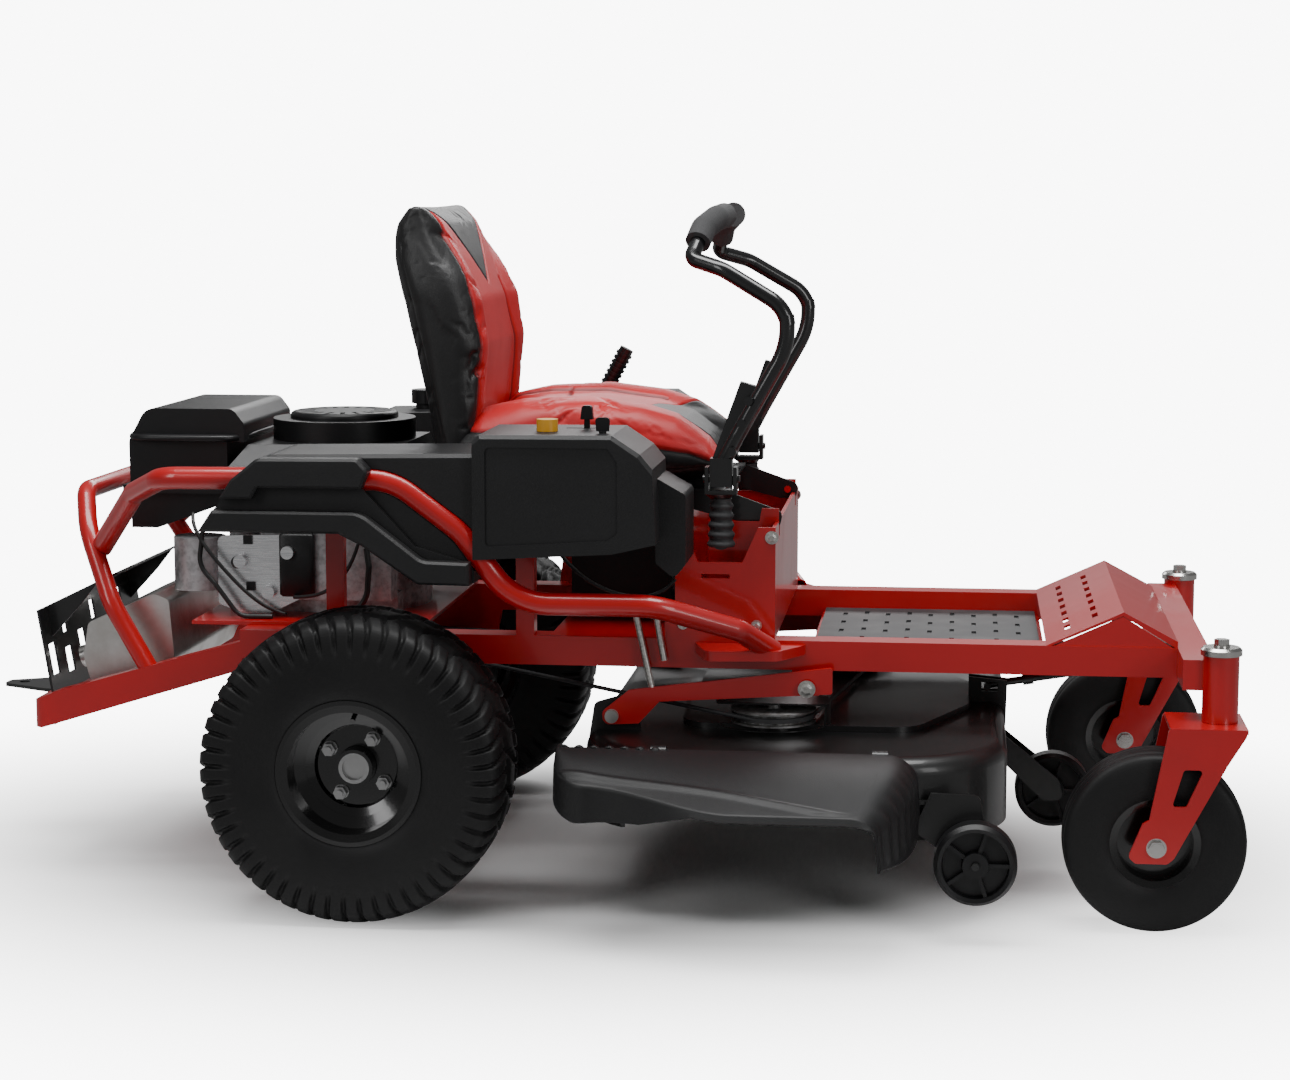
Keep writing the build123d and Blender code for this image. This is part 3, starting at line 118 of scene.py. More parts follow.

# %% [markdown]
# ## Writing finishes as sums
# A finish is a small graph of shader nodes. `Signal` wraps one socket, so that masks and patterns are written
# as ordinary sums, and `Finish.node` makes most other nodes.


# %% Signal and Finish
class Signal:
    """A shader socket that takes part in arithmetic; every operator adds one Math node."""

    def __init__(self, finish, socket):
        self.finish, self.socket = finish, socket

    def math(self, operation, first, second):
        made = self.finish.node("ShaderNodeMath", {"operation": operation}, {0: first, 1: second})
        return made["Value"]

    def __add__(self, other):
        return self.math("ADD", self, other)

    def __sub__(self, other):
        return self.math("SUBTRACT", self, other)

    def __rsub__(self, other):
        return self.math("SUBTRACT", other, self)

    def __mul__(self, other):
        return self.math("MULTIPLY", self, other)

    def __truediv__(self, other):
        return self.math("DIVIDE", self, other)

    def __pow__(self, other):
        return self.math("POWER", self, other)

    def __abs__(self):
        return self.math("ABSOLUTE", self, 0.0)

    __radd__, __rmul__ = __add__, __mul__

    def least(self, other):
        return self.math("MINIMUM", self, other)

    def most(self, other):
        return self.math("MAXIMUM", self, other)

    def over(self, low, high):
        """Rises smoothly from 0 at low to 1 at high."""
        return self.finish.node(
            "ShaderNodeMapRange", {"interpolation_type": "SMOOTHSTEP"},
            {"Value": self, "From Min": low, "From Max": high},
        )["Result"]


class Finish:
    """One material. The constants sit on the shader's sockets, and patterns feed only what changes."""

    def __init__(self, name, color, roughness, metallic=0.0, coat=0.0, coat_roughness=0.1, gloss=0.5):
        self.material = bpy.data.materials.new(name)
        self.material.use_nodes = True
        self.tree = self.material.node_tree
        self.shader = self.tree.nodes["Principled BSDF"]
        self.feed(self.shader.inputs["Base Color"], (*color, 1.0))
        self.feed(self.shader.inputs["Roughness"], roughness)
        self.feed(self.shader.inputs["Metallic"], metallic)
        self.feed(self.shader.inputs["Coat Weight"], coat)
        self.feed(self.shader.inputs["Coat Roughness"], coat_roughness)
        self.feed(self.shader.inputs["Specular IOR Level"], gloss)
        self.place = self.node("ShaderNodeTexCoord")["Object"]

    def feed(self, socket, value):
        if isinstance(value, Signal):
            self.tree.links.new(value.socket, socket)
        else:
            socket.default_value = value

    def node(self, kind, settings=None, inputs=None):
        """Adds a node: settings first, then its inputs."""
        made = self.tree.nodes.new(kind)
        for key, value in (settings or {}).items():
            setattr(made, key, value)
        for key, value in (inputs or {}).items():
            self.feed(made.inputs[key], value)
        return {out.name: Signal(self, out) for out in made.outputs if out.enabled}

    def noise(self, scale, detail=3.0, roughness=0.5, stretch=None):
        place = self.place
        if stretch:
            place = self.node("ShaderNodeMapping", None, {"Vector": place, "Scale": stretch})["Vector"]
        return self.node(
            "ShaderNodeTexNoise", None,
            {"Vector": place, "Scale": scale, "Detail": detail, "Roughness": roughness},
        )["Fac"]

    def cells(self, scale, feature="F1"):
        return self.node("ShaderNodeTexVoronoi", {"feature": feature},
            {"Vector": self.place, "Scale": scale})["Distance"]

    def axes(self):
        made = self.node("ShaderNodeSeparateXYZ", None, {"Vector": self.place})
        return made["X"], made["Y"], made["Z"]

    def mix(self, factor, first, second):
        """Blends two colours."""
        made = self.tree.nodes.new("ShaderNodeMix")
        made.data_type = "RGBA"
        for index, value in ((0, factor), (6, first), (7, second)):
            self.feed(made.inputs[index], (*value, 1.0) if isinstance(value, tuple) else value)
        return Signal(self, made.outputs[2])

    def set(self, **values):
        names = {"color": "Base Color", "roughness": "Roughness", "metallic": "Metallic",
            "coat": "Coat Weight"}
        for key, value in values.items():
            self.feed(self.shader.inputs[names[key]], value)
        return self

    def bump(self, height, depth, strength=1.0):
        made = self.node("ShaderNodeBump", None, {"Height": height, "Distance": depth, "Strength": strength})
        self.feed(self.shader.inputs["Normal"], made["Normal"])
        return self


# %% [markdown]
# ## Paint
# Powder coat is sprayed dry and baked, so it flows into a faint orange-peel skin under a clear gloss. The red
# goes a little darker where dust and handling dull it, and bright where it is clean.


# %% Paint finishes
def powder_coat(name, clean, dull, roughness, coat):
    """Two tones mixed by a slow noise, a broken gloss, and a fine orange-peel bump."""
    paint = Finish(name, clean, roughness, coat=coat, coat_roughness=0.08)
    slow, peel = paint.noise(3.0, 4.0), paint.noise(420.0, 2.0)
    paint.set(color=paint.mix(slow.over(0.42, 0.7), clean, dull),
        roughness=roughness + 0.14 * slow.over(0.4, 0.75))
    return paint.bump(peel, 0.0002, 0.35)


red_clean, red_dull = (0.50, 0.0040, 0.0060), (0.40, 0.0035, 0.0055)
red_paint = powder_coat("red_powder_coat", red_clean, red_dull, 0.30, 0.6)
black_paint = powder_coat("black_powder_coat", (0.005, 0.005, 0.0055), (0.009, 0.009, 0.009), 0.26, 0.5)
deck_paint = powder_coat("deck_powder_coat", (0.004, 0.004, 0.0042), (0.008, 0.008, 0.008), 0.34, 0.25)


# %% [markdown]
# ## Moulded plastic, rubber and foam
# The fenders and consoles are thick mouldings with a sandblasted grain that scatters light, so their black
# reads as charcoal. Engine covers are smoother. Tyres are the darkest and dullest, with a bloom of grey dust.


# %% Plastic and rubber finishes
def moulding(name, color, roughness, grain_scale, grain_depth):
    """Charcoal plastic: a leather-like cell grain with broad, faint cloudiness."""
    plastic = Finish(name, color, roughness, gloss=0.36)
    cloud, grain = plastic.noise(5.0, 4.0), plastic.cells(grain_scale)
    light = tuple(1.35 * c for c in color)
    plastic.set(color=plastic.mix(cloud.over(0.35, 0.7), color, light),
        roughness=roughness + 0.12 * (1 - cloud))
    return plastic.bump(grain + 0.5 * plastic.noise(grain_scale * 1.7, 2.0), grain_depth, 0.5)


fender_plastic = moulding("fender_plastic", (0.0105, 0.0105, 0.011), 0.42, 900.0, 0.0003)
engine_plastic = moulding("engine_plastic", (0.0065, 0.0065, 0.007), 0.32, 1300.0, 0.00012)
small_plastic = moulding("small_plastic", (0.006, 0.006, 0.0065), 0.36, 1300.0, 0.0001)
chute_plastic = moulding("deflector_plastic", (0.0085, 0.0085, 0.009), 0.40, 800.0, 0.0003)


def tyre_rubber(name, hub_x, hub_z):
    """Black rubber: dust lies on the tread, and fine rings from the mould show on the walls."""
    rubber = Finish(name, (0.0045, 0.0045, 0.005), 0.6, gloss=0.32)
    x, _, z = rubber.axes()
    reach = ((x - hub_x) * (x - hub_x) + (z - hub_z) * (z - hub_z)) ** 0.5
    rings = rubber.node("ShaderNodeMath", {"operation": "SINE"}, {0: reach * 1400.0})["Value"]
    dust = rubber.noise(9.0, 5.0).over(0.4, 0.75)
    rubber.set(color=rubber.mix(dust * 0.5, (0.0042, 0.0042, 0.0045), (0.011, 0.011, 0.011)),
        roughness=0.52 + 0.2 * dust)
    return rubber.bump(rubber.noise(300.0, 4.0) + 0.12 * rings, 0.0004, 0.4)


rear_x, rear_z = 0.0, (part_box("rear_tyre_right")[0].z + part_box("rear_tyre_right")[1].z) / 2
caster_low, caster_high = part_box("caster_tyre_right")
caster_x, caster_z = (caster_low.x + caster_high.x) / 2, (caster_low.z + caster_high.z) / 2
rear_rubber = tyre_rubber("rear_tyre_rubber", rear_x, rear_z)
caster_rubber = tyre_rubber("caster_tyre_rubber", caster_x, caster_z)

foam = Finish("grip_foam", (0.045, 0.045, 0.047), 0.82)
foam_pores = foam.cells(1100.0).over(0.1, 0.6)
foam.set(color=foam.mix(foam_pores, (0.030, 0.030, 0.031), (0.060, 0.060, 0.062)))
foam.bump(foam_pores + foam.noise(60.0, 3.0), 0.0006, 0.6)

mat_rubber = Finish("mat_rubber", (0.035, 0.036, 0.038), 0.62)
mat_dust = mat_rubber.noise(14.0, 5.0).over(0.4, 0.8)
mat_rubber.set(color=mat_rubber.mix(mat_dust, (0.030, 0.031, 0.033), (0.062, 0.062, 0.062)))
mat_rubber.bump(mat_rubber.noise(500.0, 3.0), 0.0003, 0.5)

cable_plastic = Finish("cable_jacket", (0.010, 0.010, 0.010), 0.4)
cable_plastic.set(roughness=0.34 + 0.2 * cable_plastic.noise(40.0, 3.0))
cable_plastic.bump(cable_plastic.noise(700.0, 2.0), 0.0002, 0.4)

yellow_plastic = Finish("yellow_plastic", (0.75, 0.36, 0.02), 0.32, coat=0.3)
yellow_plastic.set(color=yellow_plastic.mix(yellow_plastic.noise(60.0, 3.0), (0.80, 0.40, 0.02),
    (0.66, 0.30, 0.015)))
yellow_plastic.bump(yellow_plastic.noise(500.0), 0.0001, 0.4)


# %% [markdown]
# ## Metals
# Castings are grainy and grey, pressed covers are rolled bright, and fasteners are zinc plated with a slight
# yellow cast. A broad noise browns the silencer's steel a little.


# %% Metal finishes
def metal(name, bright, dark, roughness, scale, depth, stretch=None):
    """Metal whose tone and gloss are broken by one noise; a stretch draws it out into brush lines."""
    made = Finish(name, bright, roughness, metallic=1.0)
    streak = made.noise(scale, 4.0, 0.6, stretch)
    made.set(color=made.mix(streak.over(0.35, 0.7), bright, dark), roughness=roughness + 0.16 * streak)
    return made.bump(streak, depth, 0.5)


cast_alloy = metal("cast_alloy", (0.60, 0.60, 0.61), (0.38, 0.38, 0.39), 0.42, 70.0, 0.0005)
drive_casting = metal("drive_casting", (0.030, 0.030, 0.031), (0.015, 0.015, 0.0155), 0.5, 140.0, 0.0009)
rolled_alloy = metal("rolled_alloy", (0.86, 0.86, 0.87), (0.66, 0.66, 0.68), 0.20, 30.0, 0.0001,
    (1.0, 1.0, 14.0))
zinc = metal("zinc_plate", (0.70, 0.69, 0.66), (0.48, 0.47, 0.44), 0.26, 220.0, 0.0002)
silencer_steel = metal("silencer_steel", (0.80, 0.79, 0.77), (0.60, 0.58, 0.55), 0.26, 12.0, 0.0002)
blade_steel = metal("blade_steel", (0.36, 0.36, 0.36), (0.16, 0.15, 0.14), 0.42, 70.0, 0.0004)

# %% [markdown]
# ## Two finishes on one piece
# A caster fork is one welded piece with a plated cap, and a wheel rim carries plated nuts and a bare axle end.
# A mask on position blends one finish's values into the other's, so each part of the piece looks as it should.


# %% Zoned finishes
def plated_zone(finish, mask, color, roughness=0.3):
    """Where mask is 1 the surface becomes bare or plated metal."""
    zoned = {}
    for name in ("Base Color", "Roughness", "Metallic", "Coat Weight"):
        socket = finish.shader.inputs[name]
        before = Signal(finish, socket.links[0].from_socket) if socket.is_linked else socket.default_value
        zoned[name] = before
    base = zoned["Base Color"]
    base = base if isinstance(base, Signal) else tuple(base)[:3]
    finish.set(
        color=finish.mix(mask, base, color),
        roughness=zoned["Roughness"] * (1 - mask) + roughness * mask if isinstance(zoned["Roughness"],
            Signal)
        else (1 - mask) * zoned["Roughness"] + roughness * mask,
        metallic=mask * 1.0,
        coat=(1 - mask) * zoned["Coat Weight"],
    )
    return finish


def near_line(finish, x, z, radius, edge=0.0006):
    """1 inside a cylinder of that radius about the line through (x, z) along y."""
    px, _, pz = finish.axes()
    reach = ((px - x) * (px - x) + (pz - z) * (pz - z)) ** 0.5
    return 1 - reach.over(radius - edge, radius + edge)


zinc_tone = (0.62, 0.61, 0.59)
fork_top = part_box("front_axle_beam")[1].z
fork_paint = powder_coat("fork_powder_coat", red_clean, red_dull, 0.30, 0.6)
fork_z = fork_paint.axes()[2]
plated_zone(fork_paint, fork_z.over(fork_top - 0.0005, fork_top + 0.0005).most(near_line(fork_paint,
    caster_x, caster_z, 0.0155)), zinc_tone, 0.24)

rim_paint = powder_coat("rear_rim_paint", (0.002, 0.002, 0.0022), (0.004, 0.004, 0.004), 0.14, 0.6)
bolt_circle, bolt_turn = 0.0508, math.radians(-31)
nut_mask = near_line(rim_paint, rear_x, rear_z, 0.0245)
for turn in range(4):
    angle = bolt_turn + turn * math.pi / 2
    nut_mask = nut_mask.most(
        near_line(rim_paint, rear_x + bolt_circle * math.cos(angle),
            rear_z + bolt_circle * math.sin(angle), 0.0118)
    )
plated_zone(rim_paint, nut_mask, (0.40, 0.40, 0.40), 0.34)
caster_rim_paint = powder_coat("caster_rim_paint", (0.003, 0.003, 0.003), (0.005, 0.005, 0.005), 0.18, 0.5)
plated_zone(caster_rim_paint, near_line(caster_rim_paint, caster_x, caster_z, 0.013), zinc_tone)

arm_paint = powder_coat("arm_powder_coat", red_clean, red_dull, 0.30, 0.6)
arm_low, arm_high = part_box("lift_arms")
rear_bolt = (arm_low.x + 0.0155, arm_low.z + 0.014)
plated_zone(arm_paint, near_line(arm_paint, *rear_bolt, 0.0112), zinc_tone)

# %% Assign finishes to the CAD nodes
node_finish = {
    red_paint: "frame_rails front_axle_beam rear_frame bumper_hoop side_tubes seat_tower footrest_panel",
    black_paint: "hitch_plate muffler_guard seat_pan lap_bar_right lap_bar_left lever_pivot_right "
                 "lever_pivot_left lift_lever front_link",
    deck_paint: "deck_shell",
    rim_paint: "rear_rim_right rear_rim_left",
    caster_rim_paint: "caster_rim_right caster_rim_left",
    fork_paint: "caster_fork_right caster_fork_left",
    arm_paint: "lift_arms",
    fender_plastic: "fenders consoles fuel_tank",
    small_plastic: "battery fuel_cap ignition_key throttle_lever "
                   "deck_wheel_right deck_wheel_left deck_wheel_centre",
    engine_plastic: "blower_housing debris_screen air_cleaner",
    rear_rubber: "rear_tyre_right rear_tyre_left",
    caster_rubber: "caster_tyre_right caster_tyre_left",
    foam: "grip_right grip_left",
    mat_rubber: "floor_mat deck_belt seat_cushion seat_backrest",
    cable_plastic: "engine_cables",
    cast_alloy: "engine_block",
    drive_casting: "transaxles",
    rolled_alloy: "cylinder_covers",
    silencer_steel: "muffler",
    zinc: "lift_rods crankshaft",
    blade_steel: "blade_right blade_left",
    yellow_plastic: "pto_knob",
    chute_plastic: "chute_deflector",
}
for finish, names in node_finish.items():
    for name in names.split():
        node = nodes[name]
        node.data.materials.clear()
        node.data.materials.append(finish.material)

# %% [markdown]
# ## Surfaces from numbers
# Every new piece is a grid of points worked out as whole arrays: a closed curve carried along a path, or a
# height over a plan. `make_piece` turns such a grid into a mesh that rides on one of the mower's bodies.


# %% Surface helpers
def grid_faces(rows, columns, close_rows=False, close_columns=False):
    """Quads between neighbouring grid points; a closed direction also joins its last line to its first."""
    i = np.arange(rows if close_rows else rows - 1)[:, None]
    j = np.arange(columns if close_columns else columns - 1)[None, :]
    below, beside = (i + 1) % rows, (j + 1) % columns
    corners = [i * columns + j, below * columns + j, below * columns + beside, i * columns + beside]
    return np.stack(np.broadcast_arrays(*corners), axis=-1).reshape(-1, 4)


def make_piece(name, body, finish, points, faces, smooth=True, outward=True):
    """Puts arrays into a mesh, turns its faces outwards if it is closed, and rides it on a body."""
    mesh = bpy.data.meshes.new(name)
    mesh.from_pydata(np.asarray(points, float).reshape(-1, 3).tolist(), [],
        [list(map(int, f)) for f in faces])
    if outward:
        loose = bmesh.new()
        loose.from_mesh(mesh)
        bmesh.ops.remove_doubles(loose, verts=loose.verts, dist=1e-6)
        bmesh.ops.recalc_face_normals(loose, faces=loose.faces)
        loose.to_mesh(mesh)
        loose.free()
    mesh.polygons.foreach_set("use_smooth", np.full(len(mesh.polygons), smooth))
    mesh.materials.append(finish.material)
    piece = bpy.data.objects.new(name, mesh)
    bpy.context.collection.objects.link(piece)
    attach(piece, body)
    return piece


def soft_curve(points, count, closed=False):
    """Samples of the uniform cubic B-spline of a control polygon; an open curve starts and ends at its ends."""
    p = np.asarray(points, float)
    if closed:
        p = np.concatenate([p[-1:], p, p[:2]])
    else:
        p = np.concatenate([2 * p[:1] - p[1:2], p, 2 * p[-1:] - p[-2:-1]])
    spans = len(p) - 3
    t = np.linspace(0, spans, count, endpoint=not closed)
    k = np.minimum(t.astype(int), spans - 1)
    f = (t - k)[:, None]
    weights = [(1 - f) ** 3, 3 * f**3 - 6 * f**2 + 4, -3 * f**3 + 3 * f**2 + 3 * f + 1, f**3]
    return sum(w * p[k + n] for n, w in enumerate(weights)) / 6


def smooth_step(x, low, high):
    """0 below low, 1 above high, and a smooth S between."""
    t = np.clip((x - low) / (high - low), 0, 1)
    return t * t * (3 - 2 * t)


def tube_along(path, radius, sides=12):
    """Rings of radius round a path. Each ring stands square to the path, turned the least from the last one."""
    path = np.asarray(path, float)
    ahead = np.gradient(path, axis=0)
    ahead /= np.linalg.norm(ahead, axis=1, keepdims=True)
    side = np.cross(ahead[0], (0.31, 0.17, 0.93))
    across = np.empty_like(path)
    for i, direction in enumerate(ahead):
        side = side - direction * side.dot(direction)
        side /= np.linalg.norm(side)
        across[i] = side
    upward = np.cross(ahead, across)
    turn = np.linspace(0, 2 * np.pi, sides, endpoint=False)[None, :, None]
    radius = np.broadcast_to(radius, len(path))[:, None, None]
    return path[:, None] + radius * (np.cos(turn) * across[:, None] + np.sin(turn) * upward[:, None])


def capped(rings):
    """Adds a point in the middle of each end, so that the tube is closed."""
    start = np.broadcast_to(rings[0].mean(0), rings[0].shape)[None]
    end = np.broadcast_to(rings[-1].mean(0), rings[-1].shape)[None]
    return np.concatenate([start, rings, end])


def tube_piece(name, body, finish, path, radius, sides=12):
    rings = capped(tube_along(path, radius, sides))
    return make_piece(name, body, finish, rings, grid_faces(*rings.shape[:2], close_columns=True))


# %% [markdown]
# ## Tyres
# A turf tyre has a low crown of small slanted blocks, and longer blocks that wrap over the shoulder and die out
# on the wall. The section is one soft closed curve; turned about the axle it makes the carcass, and the grooves
# are then pushed inwards, so the tops of the blocks keep the tyre's measured size.


# %% Rear tyres
def turned_tyre(section, hub, columns, groove=None):
    """Turns a closed section (offset, radius) about the axle; groove(turn, section) pushes points inwards."""
    turn = np.linspace(0, 2 * np.pi, columns, endpoint=False)[:, None]
    offset, radius = section[None, :, 0], section[None, :, 1]
    if groove is not None:
        edge = np.roll(section, -1, axis=0) - np.roll(section, 1, axis=0)
        edge /= np.linalg.norm(edge, axis=1, keepdims=True)
        depth = groove(turn, section)
        offset, radius = offset - depth * edge[None, :, 1], radius + depth * edge[None, :, 0]
    offset, radius = np.broadcast_arrays(offset, radius + 0 * turn)
    return np.stack([hub[0] + radius * np.cos(turn), hub[1] + offset, hub[2] + radius * np.sin(turn)],
        axis=-1)


def tyre_section(width, diameter, rim, flange, square, count):
    """Closed soft outline of half a torus: beads at the rim, bulged walls, and a crown squared by a factor."""
    h, r, seat = width / 2, diameter / 2, rim / 2
    wall = [
        (h * 0.60, seat), (h * 0.86, seat + flange * 0.4), (h * 1.0, seat + flange + 0.014),
        (h * 1.035, (r + seat) / 2),
        (h * 1.02, r * square), (h * 0.97, r * 0.965), (h * 0.74, r * 0.995), (h * 0.36, r * 1.006),
    ]
    inside = [(h * 0.70, seat + 0.012), (h * 0.82, (r + seat) / 2), (h * 0.60, r - 0.024)]
    outer = wall + [(-a, b) for a, b in reversed(wall)]
    inner = [(-a, b) for a, b in inside] + list(reversed(inside))
    return soft_curve(outer + inner, count, closed=True)


turf_blocks = 52
groove_depth = 0.0085


def turf_groove(turn, section):
    """Depth of the grooves: slanted cuts between blocks, two wavy rings, and shoulder cuts that fade downwards."""
    half = 0.1
    across = section[None, :, 0] / half
    crown = smooth_step(section[None, :, 1], 0.205, 0.226)
    shoulder = smooth_step(section[None, :, 1], 0.186, 0.206)
    phase = turf_blocks * turn / (2 * np.pi)
    centre_cut = np.abs((phase * 0.5 + 0.9 * across + 0.25) % 1 - 0.5)
    middle = 1 - smooth_step(centre_cut, 0.05, 0.10)
    outer_cut = np.abs((phase + 1.1 * np.abs(across) + 0.25 * np.sign(across)) % 1 - 0.5)
    outer = 1 - smooth_step(outer_cut, 0.10, 0.17)
    wave = 0.40 + 0.045 * np.sin(2 * np.pi * phase * 0.5 + np.sign(across))
    ring = 1 - smooth_step(np.abs(np.abs(across) - wave), 0.025, 0.06)
    heart = 1 - smooth_step(np.abs(across), 0.36, 0.42)
    cuts = np.maximum(middle * heart, outer * (1 - heart) * shoulder)
    return groove_depth * np.maximum(cuts * np.maximum(crown, 0.75 * shoulder), ring * crown)


tyre_columns = turf_blocks * 15
for side, word in ((-1, "right"), (1, "left")):
    low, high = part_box(f"rear_tyre_{word}")
    hub = (rear_x, (low.y + high.y) / 2, rear_z)
    section = tyre_section(high.y - low.y, high.z - low.z, 0.2034, 0.015, 0.88, 86)
    section[:, 1] *= (high.z - low.z) / 2 / section[:, 1].max()
    section[:, 0] *= (high.y - low.y) / 2 / section[:, 0].max()
    points = turned_tyre(section, hub, tyre_columns, turf_groove)
    tyre = make_piece(f"turf_tyre_{word}", f"rear_wheel_{word}", rear_rubber, points,
                      grid_faces(*points.shape[:2], close_rows=True, close_columns=True))
    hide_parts(f"rear_tyre_{word}")
    print(tyre.name, len(tyre.data.polygons), "faces")


# %% Caster tyres
def rib_groove(turn, section):
    """Three round grooves run the whole way about a caster tyre's crown."""
    across = section[None, :, 0] / 0.05
    crown = smooth_step(section[None, :, 1], 0.120, 0.130)
    rings = 1 - smooth_step(np.minimum(np.abs(across), np.abs(np.abs(across) - 0.48)), 0.05, 0.11)
    return 0.004 * rings * crown + 0 * turn


for side, word in ((-1, "right"), (1, "left")):
    low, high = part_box(f"caster_tyre_{word}")
    hub = (caster_x, (low.y + high.y) / 2, caster_z)
    section = tyre_section(high.y - low.y, high.z - low.z, 0.1272, 0.009, 0.80, 110)
    section[:, 1] *= (high.z - low.z) / 2 / section[:, 1].max()
    section[:, 0] *= (high.y - low.y) / 2 / section[:, 0].max()
    points = turned_tyre(section, hub, 180, rib_groove)
    tyre = make_piece(f"rib_tyre_{word}", f"caster_wheel_{word}", caster_rubber, points,
                      grid_faces(*points.shape[:2], close_rows=True, close_columns=True))
    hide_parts(f"caster_tyre_{word}")

# %% [markdown]
# ## Seat
# The cushion and the backrest are lofted from soft sections, then blown up a little as stuffed covers with a
# cloth solver. Stored distances say where the red panels meet the black ones, and a groove follows each seam.


# %% Padded pieces
def rounded_section(count, power, width, depth):
    """A squarish closed curve: points at equal turns of a superellipse."""
    turn = np.linspace(0, 2 * np.pi, count, endpoint=False)
    c, s = np.cos(turn), np.sin(turn)
    return np.sign(c) * np.abs(c) ** (2 / power) * width, np.sign(s) * np.abs(s) ** (2 / power) * depth


def end_swell(t, length):
    """Scale of a section near either end of a loft, so that the ends close roundly."""
    near = np.clip(np.minimum(t, 1 - t) / length, 0, 1)
    return np.sqrt(np.clip(1 - (1 - near) ** 2.6, 0, 1))


def voxel_copy(points, size):
    """One even skin over a lofted shape."""
    mesh = bpy.data.meshes.new("soft_shape")
    mesh.from_pydata(points.reshape(-1, 3).tolist(), [], grid_faces(*points.shape[:2],
        close_columns=True).tolist())
    shape = bpy.data.objects.new("soft_shape", mesh)
    bpy.context.collection.objects.link(shape)
    remesh = shape.modifiers.new("even", "REMESH")
    remesh.mode, remesh.voxel_size = "VOXEL", size
    made = bpy.data.meshes.new_from_object(shape.evaluated_get(bpy.context.evaluated_depsgraph_get()))
    bpy.data.objects.remove(shape)
    return made


def mesh_points(mesh):
    flat = np.empty(len(mesh.vertices) * 3)
    mesh.vertices.foreach_get("co", flat)
    return flat.reshape(-1, 3)


def stuff(mesh, pressure, cap):
    """Inflates a cover for twenty frames and keeps each point within cap metres of where it was cut."""
    cover = bpy.data.objects.new("cover", mesh)
    bpy.context.collection.objects.link(cover)
    cloth = cover.modifiers.new("cover", "CLOTH")
    cloth.settings.use_pressure = True
    cloth.settings.uniform_pressure_force = pressure
    cloth.settings.effector_weights.gravity = 0.0
    cloth.settings.tension_stiffness = cloth.settings.compression_stiffness = 40.0
    cloth.point_cache.frame_start, cloth.point_cache.frame_end = 1, 20
    before = mesh_points(mesh)
    for frame_number in range(1, 21):
        bpy.context.scene.frame_set(frame_number)
    settled = cover.evaluated_get(bpy.context.evaluated_depsgraph_get()).to_mesh()
    moved = mesh_points(settled) - before
    bpy.context.scene.frame_set(1)
    bpy.data.objects.remove(cover)
    reach = np.linalg.norm(moved, axis=1, keepdims=True)
    return before + moved * np.minimum(1, cap / np.maximum(reach, 1e-9))


def vertex_normals(mesh):
    flat = np.empty(len(mesh.vertices) * 3)
    mesh.vertices.foreach_get("normal", flat)
    return flat.reshape(-1, 3)


def padded_piece(name, node, points, zone, seams, finish, cap):
    """A stuffed cover in place of a CAD cushion. zone and seams give signed distances for its panels and seams."""
    mesh = voxel_copy(points, 0.0055)
    settled = stuff(mesh, 4.0, cap)
    mesh.vertices.foreach_set("co", settled.ravel())
    mesh.update()
    fine = bmesh.new()
    fine.from_mesh(mesh)
    bmesh.ops.subdivide_edges(fine, edges=fine.edges, cuts=1, use_grid_fill=True, smooth=0.8)
    fine.to_mesh(mesh)
    fine.free()
    mesh.update()
    place = mesh_points(mesh)
    groove = np.zeros(len(place))
    for distance, width, depth in seams(*place.T):
        groove = np.maximum(groove, depth * np.exp(-((distance / width) ** 2)))
    place = place - vertex_normals(mesh) * groove[:, None]
    mesh.vertices.foreach_set("co", place.ravel())
    for key, values in (("panel", zone(*place.T)), ("groove", groove)):
        mesh.attributes.new(key, "FLOAT", "POINT").data.foreach_set("value", values.astype(np.float32))
    mesh.polygons.foreach_set("use_smooth", np.full(len(mesh.polygons), True))
    mesh.materials.clear()
    mesh.materials.append(finish.material)
    mesh.update()
    piece = bpy.data.objects.new(name, mesh)
    bpy.context.collection.objects.link(piece)
    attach(piece, "seat")
    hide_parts(node)
    return piece


def vinyl(name):
    """Grained vinyl in red and black; the stored panel distance picks the colour, and painted shade darkens the
    seams.
    """
    cover = Finish(name, (0.02, 0.02, 0.02), 0.42)
    panel = cover.node("ShaderNodeAttribute", {"attribute_name": "panel"})["Fac"]
    groove = cover.node("ShaderNodeAttribute", {"attribute_name": "groove"})["Fac"]
    red, wear = panel.over(-0.0006, 0.0006), cover.noise(7.0, 4.0)
    red_tone = cover.mix(wear.over(0.35, 0.75), (0.50, 0.006, 0.009), (0.40, 0.006, 0.008))
    black_tone = cover.mix(wear.over(0.35, 0.75), (0.006, 0.006, 0.0065), (0.011, 0.011, 0.0115))
    # Painted shade: along the seam grooves the colour is darkened towards near black.
    shade = 1 - 0.6 * groove.over(0.0006, 0.003)
    cover.set(color=cover.mix(shade, (0.004, 0.003, 0.003), cover.mix(red, black_tone, red_tone)),
              roughness=0.36 + 0.16 * wear)
    return cover.bump(cover.cells(700.0) + 0.4 * cover.noise(240.0, 3.0), 0.0003, 0.45)


# %% Cushion
cushion_low, cushion_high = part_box("seat_cushion")
half_width = (cushion_high.y - cushion_low.y) / 2
top_x = np.array([0.105, 0.150, 0.218, 0.323, 0.420, 0.479, 0.535, 0.562])
top_z = np.array([0.745, 0.778, 0.792, 0.798, 0.786, 0.768, 0.733, 0.700])
low_x = np.array([0.105, 0.300, 0.480, 0.535, 0.562])
low_z = np.array([0.676, 0.674, 0.674, 0.682, 0.694])


